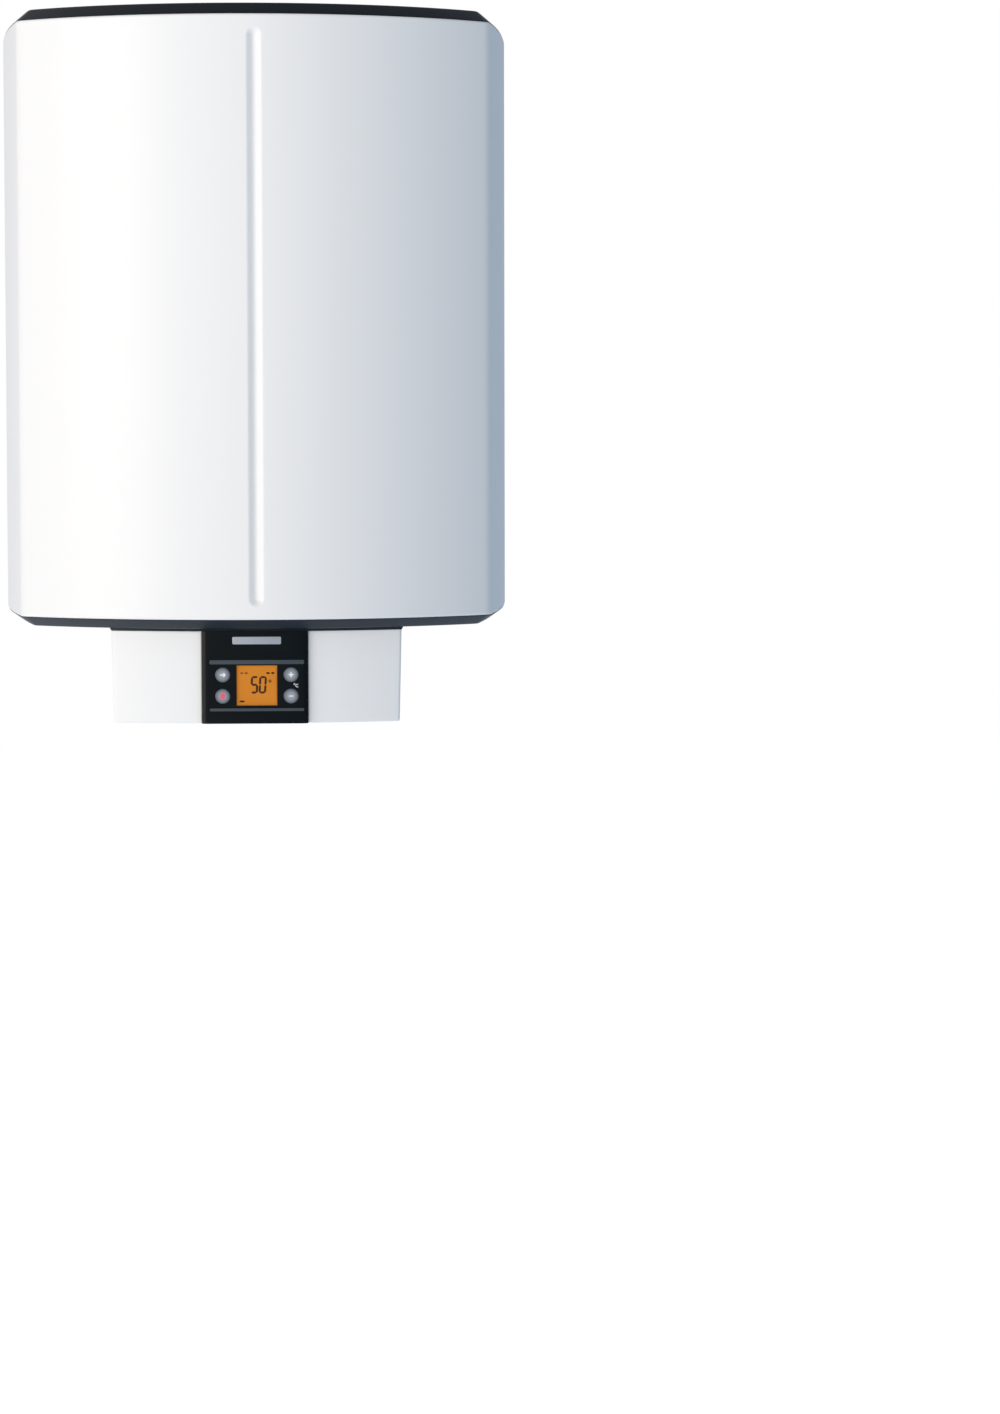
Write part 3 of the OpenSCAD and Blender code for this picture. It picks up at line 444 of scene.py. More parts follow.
def turned(profile, centre, steps=48):
    """Revolves a profile of (radius, height) round the upright line through centre. Going up the
    outside, the surface faces outwards: point = centre + (radius cos, radius sin, height)."""
    angle = np.linspace(0, 2 * np.pi, steps, endpoint=False)[:, None]
    r, h = np.asarray(profile, float).T
    points = [r * np.cos(angle), r * np.sin(angle), np.broadcast_to(h, (steps, len(h)))]
    return grid(np.stack(points, -1) + np.asarray(centre), closed_u=True)


# %% [markdown]
# ## The casing
# The casing is one sheet, bent round the heater and closed by the rear panel. Its upper and lower
# edges are rolled inwards, which draws a bright line beside each lid, and a groove is pressed into
# the middle of the front. The groove's section is a smooth wave, and its ends are round.

# %% The casing sheet
SHEET = 1.2 * MM
GROOVE_W = 14.6 * MM
GROOVE_D = 3.6 * MM
GROOVE_MARGIN = 12.5 * MM
ROLL_IN = 1.7 * MM
ROLL_HIGH = 2.4 * MM
REAR_FLANGE = 14 * MM
GROOVE_LIP = 0.4 * MM
FINE_HALF = 12 * MM
FRONT_BAND = 20 * MM
rear_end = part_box("rear_panel")[1].x - REAR_FLANGE


def groove(x, z):
    """Depth pressed into the front: half a cosine wave from the middle line to either lip, where the
    distance to that line also counts round its two ends."""
    half_long = (z_top - z_bot) / 2 - GROOVE_MARGIN - GROOVE_W / 2
    beyond = np.maximum(np.abs(z - (z_top + z_bot) / 2) - half_long, 0)
    away = np.minimum(np.hypot(x, beyond) / (GROOVE_W / 2 + GROOVE_LIP), 1)
    return GROOVE_D * (0.5 + 0.5 * np.cos(np.pi * away)) ** 0.9


def rolled(z):
    """How far the sheet's edge curls inwards at height z: a quarter ellipse over the last 2.4 mm."""
    near_end = np.clip(1 - (np.minimum(z - z_bot, z_top - z)) / ROLL_HIGH, 0, 1)
    return ROLL_IN * (1 - np.sqrt(1 - near_end**2))


fine_angle = np.arcsin(FINE_HALF / FRONT_R)
fine_front = np.concatenate([
    np.linspace(0, fine_angle, 26),
    np.linspace(fine_angle, front_angle, 26)[1:],
])
sheet_plan = plan(fine_front, rear_end)
end_of_groove = GROOVE_MARGIN + 14 * MM
heights = np.concatenate([
    z_bot + ROLL_HIGH * (1 - np.cos(np.linspace(0, np.pi / 2, 9))),
    np.linspace(z_bot + ROLL_HIGH, z_bot + end_of_groove, 30)[1:],
    np.linspace(z_bot + end_of_groove, z_top - end_of_groove, 24)[1:-1],
    np.linspace(z_top - end_of_groove, z_top - ROLL_HIGH, 30),
    z_top - ROLL_HIGH * (1 - np.cos(np.linspace(np.pi / 2, 0, 9)))[1:],
])


def pressed(inset):
    """The sheet's surface at an inset from the outer one, with the groove pushed in along +Y."""
    points = rings(sheet_plan, inset, heights)
    on_front = points[..., 1] < y_front + FRONT_BAND
    points[..., 1] += np.where(on_front, groove(points[..., 0], points[..., 2]), 0)
    return points


outside = pressed(rolled(heights))
inside = pressed(SHEET + 0.6 * rolled(heights))
section = np.concatenate([outside, inside[:, ::-1]], 1)
ends = [np.stack([outside[0], inside[0]]), np.stack([inside[-1], outside[-1]])]
build("casing_sheet", [grid(section, closed_v=True)] + [grid(e) for e in ends], white_steel,
      stands_for=["front_shell"], sharp=50)

# %% [markdown]
# ## The lids
# Both lids are mouldings that sit in the casing's rolled edges and lean inwards all the way round.
# The upper one is slightly crowned, so that water runs off it. A ring of the plan can only be inset
# until its creases close up, so the crown is made of one ring that shrinks towards the middle.

# %% The upper lid
LEAN = 13 * MM
LID_WALL = 2.5 * MM
lid_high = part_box("top_lid")[1].z
CROWN = 4 * MM
rim_top = lid_high - CROWN

lid_plan = plan(np.linspace(0, front_angle, 40), 0)
rim = rounded([(3.2, -2.0), (0.7, 0.4), (LEAN / MM, (rim_top - z_top) / MM), (17, (rim_top - z_top) / MM)],
              [0.5, 2.6], 8) * MM
shrink = np.linspace(1, 0, 26)[1:]
crown_z = rim_top + CROWN * 0.94 * (1 - shrink**2)


def lid_side(inset, z, wall):
    """Rings of one side of the lid: the rim's profile, then the crown that shrinks to a point."""
    edge = inset[-1]
    return rings(
        lid_plan,
        np.append(inset, np.full(len(shrink), edge)),
        np.append(z, crown_z - wall),
        np.append(np.ones(len(inset)), shrink),
    )


upper = lid_side(rim[:, 0], z_top + rim[:, 1], 0)
under = lid_side(rim[:, 0] + LID_WALL, z_top + np.minimum(rim[:, 1], rim[-1, 1] - LID_WALL), LID_WALL)
build("upper_lid", [grid(np.concatenate([under[:, ::-1], upper], 1), closed_u=True)], navy_plastic,
      stands_for=["top_lid"])

# %% [markdown]
# The lower lid has a flat underside with openings for the two pipes and for the service flange. A
# flat face with holes needs no grid: its outlines are filled with triangles, and ribbons join the
# upper and the lower face. A low plinth with sloping sides stands out where the control box seats.

# %% The lower lid with its plinth and screw posts
PLINTH_H = 2.6 * MM
box_low, box_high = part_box("control_housing")
lid_low = box_high.z + PLINTH_H
box_front, box_rear = box_low.y, box_high.y
BOX_R = 420 * MM
ACCESS_R = 74 * MM
PIPE_HOLE_R = 11 * MM
pipe_x, pipe_y = 50 * MM, tank_y + 115 * MM


def circle(x, y, r, z, steps=64):
    """A level circle, anticlockwise seen from above."""
    angle = np.linspace(0, 2 * np.pi, steps, endpoint=False)
    return np.stack([x + r * np.cos(angle), y + r * np.sin(angle), np.full(steps, z)], -1)


def level(loop, z):
    """The same outline at another height."""
    moved = np.array(loop)
    moved[:, 2] = z
    return moved


low_rim = rounded([(LEAN / MM + 4, 0), (LEAN / MM, 0), (0.7, 8.6), (3.2, 11.0)], [2.2, 0.5], 8) * MM
low_outer = rings(lid_plan, low_rim[:, 0], lid_low + low_rim[:, 1])
low_inner = rings(lid_plan, low_rim[:, 0] + LID_WALL, lid_low + np.maximum(low_rim[:, 1], LID_WALL))
holes = [circle(0, tank_y, ACCESS_R, lid_low)]
holes += [circle(s * pipe_x, pipe_y, PIPE_HOLE_R, lid_low, 32) for s in (-1, 1)]
plate_top = lid_low + LID_WALL
patches = [
    grid(np.concatenate([low_outer, low_inner[:, ::-1]], 1), closed_u=True),
    flat([low_outer[:, 0]] + holes, (0, 0, -1)),
    flat([low_inner[:, 0]] + [level(h, plate_top) for h in holes], (0, 0, 1)),
]
patches += [grid(np.stack([level(h, plate_top), h], 1), closed_u=True) for h in holes]


BOX_WALL = 2.5 * MM


def half_outline(half_w, inset, z, start=0.0):
    """The right half of the control box from above, from x = start on its front to its rear middle:
    a broad arc, a rounded front corner, the side and half the rear. An inset shrinks all of it. A
    start beside the panel's gap turns in along the gap's side, with a rounded edge."""
    r = BOX_R - inset
    half_w = half_w - inset
    x = np.sin(np.linspace(np.arcsin(start / r), np.arcsin(half_w / r), 30)) * r
    y = box_front + BOX_R - np.sqrt(r**2 - x**2)
    bend = max(2.5 * MM - inset, 0.3 * MM)
    side = rounded([(x[-3], y[-3]), (half_w, y[-1]), (half_w, box_rear - inset), (0, box_rear - inset)],
                   [bend, bend], 8)
    half = np.concatenate([np.stack([x[:-3], y[:-3]], -1), side])
    if start:
        leg = max(BOX_WALL - inset, 0.05 * MM)
        edge = rounded([(x[0], y[0] + leg), (x[0], y[0]), (x[2], y[2])], [min(1.7 * MM, leg)], 7)
        half = np.concatenate([edge[:-1], half[2:]])
    return np.column_stack([half, np.full(len(half), z)])


def mirrored(half):
    """Goes on along the left side, back to where the right half began."""
    return np.concatenate([half, (half * [-1, 1, 1])[::-1][1:]])


def box_outline(half_w, inset, z):
    """The control box's whole outline, closed: its last point isn't its first again."""
    return mirrored(half_outline(half_w, inset, z))[:-1]


PLINTH_OUT = 1.7 * MM
PLINTH_TIP = 0.4 * MM
PLINTH_RUN = 8 * MM
box_half = (box_high.x - box_low.x) / 2
seat = box_high.z
plinth = [
    box_outline(box_half + PLINTH_TIP, 0, seat),
    box_outline(box_half + PLINTH_OUT, 0, lid_low),
    box_outline(box_half + PLINTH_OUT, PLINTH_RUN, lid_low),
    box_outline(box_half + PLINTH_TIP, PLINTH_RUN, seat),
]
patches.append(grid(np.stack(plinth, 1), closed_u=True, closed_v=True))
POST_R, POST_LONG = 5 * MM, 85 * MM
HOLE_R, HOLE_DEEP = 1.5 * MM, 20 * MM
post_x = box_half - 10.5 * MM
post = [(HOLE_R, HOLE_DEEP), (HOLE_R, 0), (POST_R, 0), (POST_R, POST_LONG), (0, POST_LONG), (0, HOLE_DEEP),
        (HOLE_R, HOLE_DEEP)]
for sign in (-1, 1):
    for post_y in (box_front + 48 * MM, box_rear - 8.5 * MM):
        patches.append(turned(post, (sign * post_x, post_y, box_low.z + BOX_WALL), steps=24))
# The lower lid's lighter slate colour is painted light, standing in for the light on its downward-facing
# rim.
build("lower_lid", patches, navy_with_painted_light, stands_for=["bottom_lid"])
print(f"lower lid's underside at {lid_low / MM:.1f} mm, control box seat at {seat / MM:.1f} mm")

# %% [markdown]
# ## The control box
# The control box is an open tray with a curved front, slightly narrower at its foot. A gap in its
# front takes the black panel. Its wall is a grid from one side of that gap round the back to the
# other, its floor is two flat fills, and a radius joins wall and floor.

# %% The tray
DRAFT = 2 * MM
panel_low, panel_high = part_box("control_panel")
PANEL_WING = 7 * MM
PANEL_PLAY = 0.1 * MM
gap_left = -panel_low.x - PANEL_WING + PANEL_PLAY
gap_right = panel_high.x - PANEL_WING + PANEL_PLAY
notch_back = panel_high.y + PANEL_PLAY


def tray_line(inset, z):
    """The tray's outline without the panel's gap: it starts beside the gap on the right, runs round
    the rear, and ends beside the gap on the left. The sides lean in towards the foot."""
    lean = DRAFT * (seat - z) / (seat - box_low.z)
    right_half = half_outline(box_half - lean, inset, z, gap_right)
    left_half = half_outline(box_half - lean, inset, z, gap_left)
    return np.concatenate([right_half, (left_half * [-1, 1, 1])[::-1][1:]])


box_h = (seat - box_low.z) / MM
wall = rounded([(2.6, 0), (0, 0), (0, box_h), (1.4, box_h)], [2.4, 1.2], 7) * MM
outer_wall = np.stack([tray_line(i, box_low.z + h) for i, h in wall], 1)
inner_wall = np.stack([tray_line(BOX_WALL, z) for z in (seat - 0.2 * MM, box_low.z + BOX_WALL)], 1)
lip = np.stack([outer_wall[:, -1], inner_wall[:, 0]], 1)


def with_gap(line):
    """Closes a tray line into an outline by the three straight sides of the panel's gap."""
    z = line[0, 2]
    return np.concatenate([line, [(-gap_left, notch_back, z), (gap_right, notch_back, z)]])


floor_under = with_gap(outer_wall[:, 0])
floor_over = with_gap(inner_wall[:, 1])
side_ends = []
for end, order in ((0, 1), (-1, -1)):
    rim_line = outer_wall[end]
    inner_line = np.tile(inner_wall[end, 1], (len(rim_line), 1))
    inner_line[:, 2] = np.maximum(rim_line[:, 2], box_low.z + BOX_WALL)
    side_ends.append(grid(np.stack([rim_line, inner_line][::order])))
threshold = np.stack([floor_under[[-3, -2, -1, 0]], floor_over[[-3, -2, -1, 0]]], 1)
build(
    "control_box",
    [grid(outer_wall), grid(lip), grid(inner_wall), flat([floor_under], (0, 0, -1)),
     flat([floor_over], (0, 0, 1)), grid(threshold)] + side_ends,
    white_plastic, stands_for=["control_housing"])

# %% [markdown]
# ## The panel and what is set into it
# The panel's shape is all flats, so the CAD solid is right as it is. A copy with its triangles
# joined again takes a fine bevel, which gives the polished edges their thin reflections. The bars,
# the name plate and the window are thin slabs with rounded outlines.

# %% The panel, its bars, the blank plate and the window
softened("control_panel", black_acrylic, 0.5 * MM)


def slab(low, high, corner, edge, steps=8):
    """Patches of a plate that faces -Y: a rounded rectangle in x and z from low to high, whose front
    rim is rounded by edge. The outline shrinks by edge * (1 - cos) while y falls by edge * sin."""
    (x0, y0, z0), (x1, y1, z1) = low, high
    angle = np.linspace(0, np.pi / 2, steps)
    quarter = np.stack([np.cos(angle), np.sin(angle)], -1)
    turns = [quarter, quarter[::-1] * [-1, 1], -quarter, quarter[::-1] * [1, -1]]
    middles = [(x1 - corner, z1 - corner), (x0 + corner, z1 - corner),
               (x0 + corner, z0 + corner), (x1 - corner, z0 + corner)]
    aim = np.concatenate(turns)
    middle = np.repeat(middles, steps, 0)
    layers = [(0, y1)]
    layers += [(edge * (1 - np.cos(a)), y0 + edge * (1 - np.sin(a))) for a in np.linspace(0, np.pi / 2, 5)]
    walls = []
    for shrunk, y in layers:
        ring = middle + aim * (corner - shrunk)
        walls.append(np.column_stack([ring[:, 0], np.full(len(ring), y), ring[:, 1]]))
    walls = np.stack(walls, 1)
    return [grid(walls, closed_u=True), flat([walls[:, -1]], (0, -1, 0)), flat([walls[:, 0]], (0, 1, 0))]


panel_face = panel_low.y
window_low, window_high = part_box("display_window")
bars_low, bars_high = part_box("panel_bars")
plate_low, plate_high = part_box("blank_badge")


def inlaid(name, low, high, corner, material, stands_for=(), edge=0.15):
    """Builds a slab between two corner points; its edge radius is in millimetres."""
    return build(name, slab(tuple(low), tuple(high), corner, edge * MM), material, stands_for=stands_for)


UPPER_BAR = 4.0 * MM
LOWER_BAR = 2.8 * MM
inlaid("upper_bar", (bars_low.x, bars_low.y, bars_high.z - UPPER_BAR), bars_high, 1.2 * MM,
       slate_print, ["panel_bars"])
inlaid("lower_bar", bars_low, (bars_high.x, bars_high.y, bars_low.z + LOWER_BAR), 1.2 * MM,
       slate_print, ["panel_bars"])
inlaid("blank_plate", plate_low, plate_high, 1.2 * MM, blank_metal, ["blank_badge"], 0.2)

# %% [markdown]
# ## The display
# The display is a backlit amber glass behind a clear window. It shows a set temperature in
# seven-segment figures; the small labels round it are shown only as plain strokes.

# %% The amber glass and the window before it
amber = Finish("amber_display", (0.60, 0.205, 0.012), 0.5, Specular_IOR_Level=0.2)
amber.set("Emission Color", (1.0, 0.34, 0.02, 1))
amber.set("Emission Strength", 0.16)
amber.tint(amber.noise(60, 2), (0.64, 0.225, 0.016))
amber.relief(amber.noise(2000, 1), 0.004 * MM)
clear = Finish("clear_window", (0.05, 0.05, 0.05), 0.06, Specular_IOR_Level=0.3)
clear.set("Alpha", 0.05 + 0.03 * clear.noise(50, 2))
ink = moulded("display_ink", (0.07, 0.022, 0.006), 0.5, depth=0.003, level=0.2)
faint_ink = moulded("display_faint_ink", (0.30, 0.10, 0.012), 0.5, depth=0.003, level=0.2)

inlaid("window", window_low, window_high, 0.8 * MM, clear.material, ["display_window"])
glass_face = panel_face + 2.0 * MM
window_z = (window_low.z + window_high.z) / 2

# %% [markdown]
# The figures are built of strokes with pointed ends, as the segments of such a display are. They
# could be a pattern in the glass's material, but strokes of a few hundredths of a millimetre stay
# sharp at any distance, and their faces keep clear of the glass behind them.


# %% Figures and strokes
def stroke(x0, z0, x1, z1, width, y, thick=0.08 * MM):
    """A straight stroke of ink with pointed ends, standing out from a face at y towards the viewer:
    six corners, half a width wide on both sides of the line, carried forwards by the thickness."""
    a, b = np.array([x0, z0]), np.array([x1, z1])
    way = (b - a) / np.linalg.norm(b - a)
    side = np.array([-way[1], way[0]]) * width / 2
    near, far = a + way * width / 2, b - way * width / 2
    loop = np.array([a, near - side, far - side, b, far + side, near + side])
    front, back = (np.column_stack([loop[:, 0], np.full(6, depth), loop[:, 1]]) for depth in (y - thick, y))
    return [flat([front], (0, -1, 0)), grid(np.stack([back, front], 1), closed_u=True)]


SEGMENTS = {
    "top": (0, 2, 1, 2), "middle": (0, 1, 1, 1), "foot": (0, 0, 1, 0),
    "left_up": (0, 1, 0, 2), "left_low": (0, 0, 0, 1), "right_up": (1, 1, 1, 2), "right_low": (1, 0, 1, 1),
}
FIGURES = {
    "5": ["top", "left_up", "middle", "right_low", "foot"],
    "0": ["top", "left_up", "left_low", "right_up", "right_low", "foot"],
}


LEANING = 0.06


def figure(digit, x, z, wide, high, width, y):
    """A seven-segment figure: unit segments scaled to its width and half its height, leaning a little."""
    patches = []
    for name in FIGURES[digit]:
        ax, az, bx, bz = SEGMENTS[name]
        ends = [(x + wide * u + LEANING * high * v / 2, z + high * v / 2) for u, v in ((ax, az), (bx, bz))]
        patches += stroke(*ends[0], *ends[1], width, y)
    return patches


FIGURE_H, FIGURE_W, BAR_W = 14.6 * MM, 5.2 * MM, 2.0 * MM
figures_z = window_z - 6.8 * MM
marks = []
for digit, figure_x in (("5", -5.4 * MM), ("0", 2.4 * MM)):
    marks += figure(digit, figure_x, figures_z, FIGURE_W, FIGURE_H, BAR_W, glass_face)
build("display_figures", marks, ink)


def ring_mark(x, z, r, width, y, start=0.0, stop=2 * np.pi, thick=0.08 * MM):
    """A flat ring, or a part of one, standing out from a face at y: four lines round a small square."""
    angle = np.linspace(stop, start, 28)[:, None]
    size = np.array([r + width / 2, r + width / 2, r - width / 2, r - width / 2])
    depth = np.broadcast_to([y, y - thick, y - thick, y], (28, 4))
    points = np.stack([x + size * np.cos(angle), depth, z + size * np.sin(angle)], -1)
    return [grid(points, closed_v=True)]


small = ring_mark(12.4 * MM, window_z + 4.0 * MM, 1.0 * MM, 0.8 * MM, glass_face)
for x0, x1, dz in ((8.6, 12.4, 11.6), (13.2, 16.8, 11.6), (-16.6, -11.4, -15.2)):
    small += stroke(x0 * MM, window_z + dz * MM, x1 * MM, window_z + dz * MM, 1.9 * MM, glass_face)
build("display_marks", small, ink)
faint = []
for x0, x1 in ((-15.8, -12.6), (-11.8, -8.4)):
    faint += stroke(x0 * MM, window_z + 11.6 * MM, x1 * MM, window_z + 11.6 * MM, 1.8 * MM, glass_face)
build("display_faint_marks", faint, faint_ink)

# %% [markdown]
# ## The keys
# Each key is a turned disc with a shallow dome, and a printed sign on it. The sign stands a hair
# above the dome and rides with its key; each stroke is a little thicker than the one it crosses, so
# no two faces share a plane. Plus and minus change the temperature, the arrow opens the menu, and
# the red mark asks for quick heating.

# %% Domed keys and their signs
KEY_R = 7.1 * MM
KEY_DX, KEY_DZ = 32.3 * MM, 10.1 * MM
KEY_DOME = 0.6
KEY_EDGE = 6.7
silver_key = Finish("silver_key", (0.33, 0.365, 0.41), 0.3, coat=0.2, Specular_IOR_Level=0.3)
across_key = silver_key.add("ShaderNodeSeparateXYZ", None, silver_key.place)
up_key = Value(silver_key, across_key.socket.node.outputs[2])
# Painted light: the key's colour falls from silver in its middle to near black at its rim, a painted
# highlight and painted shade for how the domed disc reflects the lamps.
painted_rim_shade = (abs(across_key) - KEY_DX) ** 2 + (abs(up_key - window_z) - KEY_DZ) ** 2
silver_key.tint((painted_rim_shade / KEY_R**2) ** 0.9, (0.055, 0.065, 0.085))
silver_key.relief(silver_key.noise(1500, 2), 0.01 * MM)
silver_key.set("Roughness", 0.26 + 0.08 * silver_key.noise(200, 2))
key_plastic = silver_key.material


def key(node, body, sign, sign_material):
    """Turns a domed cap on the CAD key's axis, with the strokes of its sign on the dome's top."""
    low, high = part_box(node)
    x, z = (low.x + high.x) / 2, (low.z + high.z) / 2
    face = low.y
    stem = (high.y - face) / MM
    wide = KEY_R / MM
    r = np.linspace(0, 7.0, 12)
    fall = np.where(r < KEY_EDGE, KEY_DOME * (r / wide) ** 2.5, 0.52 + r - KEY_EDGE)
    back = [(wide, 1.4), (wide, 4.1), (8.3, 4.1), (8.3, 5.1), (2.0, 5.1), (2.0, stem), (0, stem)]
    profile = np.concatenate([np.stack([r, fall], -1), back])[::-1] * MM * [1, -1]
    points, faces = turned(profile, (0, 0, 0), 56)
    placed = np.column_stack([points[:, 0] + x, face - points[:, 2], points[:, 1] + z])
    build(node + "_cap", [(placed, faces)], key_plastic, body, [node])
    patches = []
    for order, part in enumerate(sign):
        ends = [v * MM + o for v, o in zip(part[:4], (x, z, x, z))]
        patches += stroke(*ends, part[4] * MM, face + 0.28 * MM, (0.3 + 0.05 * order) * MM)
    build(node + "_sign", patches, sign_material, body)


key("menu_button", "menu_key", [(-2.6, 0, 2.4, 0, 1.3), (2.6, 0, 0.4, 1.9, 1.2), (2.6, 0, 0.4, -1.9, 1.2)],
    glyph_white)
key("boost_button", "boost_key", [(0, -3.6, 0, 3.6, 4.6)], glyph_red)
key("plus_button", "plus_key", [(-2.6, 0, 2.6, 0, 1.2), (0, -2.6, 0, 2.6, 1.2)], glyph_white)
key("minus_button", "minus_key", [(-2.4, 0, 2.4, 0, 0.9)], glyph_white)

degree = ring_mark(35.4 * MM, window_z + 1.1 * MM, 0.7 * MM, 0.35 * MM, panel_face)
degree += ring_mark(38.0 * MM, window_z - 0.3 * MM, 1.3 * MM, 0.5 * MM, panel_face, 0.8, 5.5)
build("degree_mark", degree, glyph_white)

# %% [markdown]
# ## Pipes, collars and buffers
# The water pipes end in a G 1/2 thread, 14 turns to the inch. A thread is a turned surface whose
# radius falls and rises once along each turn, so its radius depends on height and angle together.

# %% Threaded pipes
PITCH = 25.4 / 14 * MM
THREAD_DEPTH = 1.1 * MM
THREAD_LONG = 18 * MM
PIPE_R, PIPE_BORE_R = 9 * MM, 7 * MM
ROUND = 48


def pipe(node, name):
    """A pipe with a threaded end: radius = thread radius - depth * wave(height / pitch - angle),
    where the wave is a triangle, and it fades out over the first and the last turn."""
    low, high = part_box(node)
    x, y = (low.x + high.x) / 2, (low.y + high.y) / 2
    thread_r, top = (high.x - low.x) / 2, high.z - low.z
    angle = np.linspace(0, 2 * np.pi, ROUND, endpoint=False)[:, None]
    h = np.linspace(0, THREAD_LONG, 96)
    phase = (h / PITCH - angle / (2 * np.pi)) % 1
    fade = np.clip(np.minimum(h, THREAD_LONG - h) / PITCH, 0, 1)
    r = thread_r - 0.02 * MM - THREAD_DEPTH * np.abs(2 * phase - 1) * fade - 0.8 * MM * (1 - fade)
    bore = np.tile([PIPE_BORE_R, PIPE_BORE_R], (ROUND, 1))
    tube = np.tile([PIPE_R, PIPE_R, PIPE_BORE_R], (ROUND, 1))
    radii = np.concatenate([bore, r, tube], 1)
    along_z = np.concatenate([[top, 0], h, [THREAD_LONG, top, top]])
    points = np.stack([x + radii * np.cos(angle), y + radii * np.sin(angle),
                       np.broadcast_to(low.z + along_z, radii.shape)], -1)
    build(name, [grid(points, closed_u=True)], tube_metal, stands_for=[node])


pipe("cold_inlet_pipe", "cold_pipe")
pipe("hot_outlet_pipe", "hot_pipe")

# %% [markdown]
# The collars are turned, as the pipes are. The bracket, the gland, the buffers and the screws are
# made of flats and cylinders, so a copy of each CAD solid with a bevel is all that they need.


# %% Collars, and the fittings with softened edges
def collar(node, material):
    """A ring round a pipe: a flange against the lid's underside, and a narrower boss below it."""
    low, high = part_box(node)
    centre = ((low.x + high.x) / 2, (low.y + high.y) / 2, low.z)
    profile = rounded([(9.1, 5), (9.1, 0), (14, 0), (14, 2.5), (17, 2.5), (17, 5), (9.1, 5)],
                      [0.4, 0.8, 0.3, 0.8, 0.2], 5) * MM
    build(node + "_ring", [turned(profile, centre)], material, stands_for=[node])


collar("cold_collar", blue_plastic)
collar("hot_collar", red_plastic)
for node, made_of in {
    "wall_bracket": zinc_steel, "cable_gland": nylon, "gland_nut": nylon,
    "wall_buffers": rubber, "housing_screws": zinc_steel, "buffer_screws": zinc_steel,
}.items():
    softened(node, made_of, 0.5 * MM)

# %% [markdown]
# ## What stays as it is
# The parts inside the casing and the flat rear panel have their right shape already, so they only
# get a material each.

# %% Materials for the CAD nodes
lead_black = moulded("lead_black", (0.015, 0.015, 0.016), 0.5, grain=400)
lead_brown = moulded("lead_brown", (0.10, 0.035, 0.012), 0.5, grain=400)
lead_green = moulded("lead_green", (0.05, 0.28, 0.04), 0.5, grain=400)
lead_white = moulded("lead_white", (0.72, 0.72, 0.70), 0.5, grain=400)
kept = {
    zinc_steel: ["rear_panel", "seam_rivets", "flange_screws", "board_screws", "earth_stud"],
    foam_skin: ["foam_insulation"],
    tank_enamel: ["inner_tank"],
    tube_metal: ["flange_plate", "thermowell", "temperature_probe", "limiter_bulb", "limiter_capillary"],
    rubber: ["flange_gasket", "gland_seal"],
    copper: ["heating_elements"],
    brass: ["element_terminals", "terminal_screws"],
    magnesium: ["anode_rod", "anode_plug"],
    ivory: ["inlet_diffuser", "terminal_block", "board_standoffs"],
    amber.material: ["display_module"],
    board_green: ["display_board", "main_board", "board_connector"],
    black_parts: ["tact_switches", "limiter_body", "board_capacitors"],
    blue_plastic: ["board_relays"],
    red_plastic: ["limiter_reset"],
    winding: ["board_transformer"],
    nylon: ["gland_lock_nut"],
    lead_black: ["element_leads"],
    lead_brown: ["mains_lead"],
    lead_green: ["earth_lead"],
    lead_white: ["sensor_lead", "display_ribbon"],
}
for material, names in kept.items():
    for name in names:
        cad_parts[name].data.materials.clear()
        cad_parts[name].data.materials.append(material)
print(f"{sum(len(n) for n in kept.values())} CAD nodes keep their shape")

# %% [markdown]
# ## Stage, light and camera
# The heater hangs free above a pale floor. Two large soft lamps stand in front of it, one well to
# the left and one nearly in the middle, which keeps out of reflections. The sky is nearly white on
# the left and blue-grey on the right, so the white casing turns from one to the other.

# %% Floor
FLOOR_DROP = 0.75
FLOOR_HALF = 9
floor_z = cad_low.z - FLOOR_DROP
floor_mesh = bpy.data.meshes.new("floor")
corners = [(x * FLOOR_HALF, y * FLOOR_HALF, floor_z) for x, y in ((-1, -1), (1, -1), (1, 1), (-1, 1))]
floor_mesh.from_pydata(corners, [], [(0, 1, 2, 3)])
floor = bpy.data.objects.new("floor", floor_mesh)
bpy.context.scene.collection.objects.link(floor)
floor.visible_diffuse = False
floor.visible_glossy = False
pale = Finish("pale_floor", (0.86, 0.87, 0.88), 0.9)
pale.tint(pale.noise(6, 2), (0.84, 0.85, 0.86))
pale.set("Emission Color", (0.9, 0.95, 1.0, 1))
pale.set("Emission Strength", 0.75)
floor_mesh.materials.append(pale.material)

# %% [markdown]
# A lamp is placed by its direction and distance from the casing, as a lamp on a stand would be. Rays
# from the camera see a white background. All others see the sky, whose colour depends on how far
# they point to the right, and whose strength falls as they point higher.


# %% Lamps and sky
def lamp(name, azimuth, elevation, distance, size, power, colour, glossy=True):
    """A square soft lamp that looks at the casing's middle. Azimuth turns from the front to +X."""
    aim = Vector((0, tank_y, (z_top + z_bot) / 2))
    a, e = np.radians(azimuth), np.radians(elevation)
    away = Vector((np.sin(a) * np.cos(e), -np.cos(a) * np.cos(e), np.sin(e)))
    data = bpy.data.lights.new(name, "AREA")
    data.shape = "SQUARE"
    data.size = size
    data.energy = power
    data.color = colour
    thing = bpy.data.objects.new(name, data)
    thing.location = aim + away * distance
    thing.rotation_mode = "QUATERNION"
    thing.rotation_quaternion = (-away).to_track_quat("-Z", "Y")
    thing.visible_camera = False
    thing.visible_glossy = glossy
    bpy.context.scene.collection.objects.link(thing)


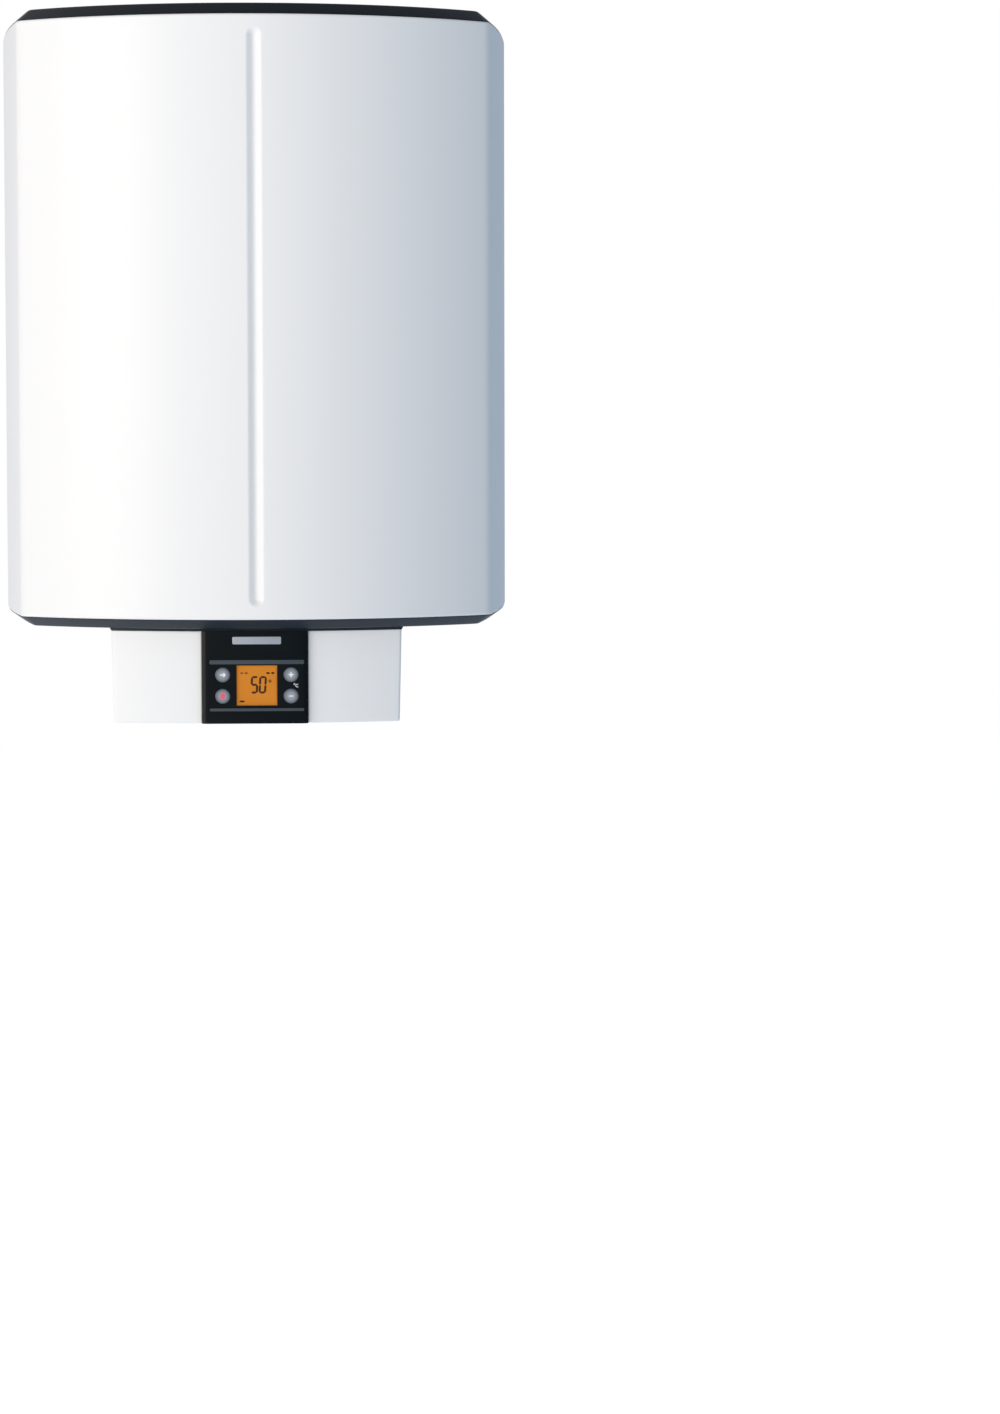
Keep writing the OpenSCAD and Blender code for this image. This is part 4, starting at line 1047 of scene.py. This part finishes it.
lamp("key_lamp", -50, 4, 4.2, 2.4, 45, (1.0, 0.907, 0.80))
lamp("fill_lamp", -10, 4, 4.2, 2.4, 49, (1.0, 0.93, 0.82), glossy=False)
LEFT_SKY = (0.924, 0.92, 0.933)
RIGHT_SKY = (0.248, 0.345, 0.467)
sky = bpy.data.worlds.new("sky")
bpy.context.scene.world = sky
sky_tree = Tree(sky)


def blend(mask, one, other):
    """Mixes two colours, or a colour and a value, by a mask."""
    mixed = sky_tree.add("ShaderNodeMix", {"data_type": "RGBA"}, out=2)
    for place, value in ((0, mask), (6, one), (7, other)):
        sky_tree.join(value, mixed.socket.node.inputs[place])
    return mixed


looking = sky_tree.add("ShaderNodeTexCoord")
sideways = sky_tree.add("ShaderNodeSeparateXYZ", None, looking)
round_about = blend(0.5 + 0.5 * sideways, (*LEFT_SKY, 1), (*RIGHT_SKY, 1))
above = Value(sky_tree, sideways.socket.node.outputs[2])
seen = sky_tree.add("ShaderNodeLightPath")
sky_tree.join(blend(seen, round_about, (1, 1, 1, 1)), sky_tree.nodes["Background"].inputs["Color"])
sky_tree.join(1 - 0.5 * above * (1 - seen), sky_tree.nodes["Background"].inputs["Strength"])

# %% [markdown]
# A long lens four metres away keeps the upright edges nearly parallel. It stands level with the
# casing's lower third and looks a few degrees down and to the right. Three directions at right
# angles say how it is turned, and they are the columns of its matrix.

# %% Camera
SENSOR = 36
FOCAL = 113.9
YAW, PITCH_DOWN, ROLL = np.radians([2.98, 3.87, -0.09])
forward = Vector((np.sin(YAW) * np.cos(PITCH_DOWN), np.cos(YAW) * np.cos(PITCH_DOWN), -np.sin(PITCH_DOWN)))
level_right = Vector((np.cos(YAW), -np.sin(YAW), 0))
level_up = level_right.cross(forward)
right = level_right * np.cos(ROLL) + level_up * np.sin(ROLL)
up = right.cross(forward)
camera_data = bpy.data.cameras.new("camera")
camera_data.sensor_width = SENSOR
camera_data.lens = FOCAL
camera_data.clip_end = 60
camera = bpy.data.objects.new("camera", camera_data)
bpy.context.scene.collection.objects.link(camera)
turn = Matrix((right, up, -forward)).transposed().to_4x4()
camera.matrix_world = Matrix.Translation((0.010, y_front - 4.207, z_bot + 0.202)) @ turn
bpy.context.scene.camera = camera
bpy.context.scene.view_settings.view_transform = "Standard"
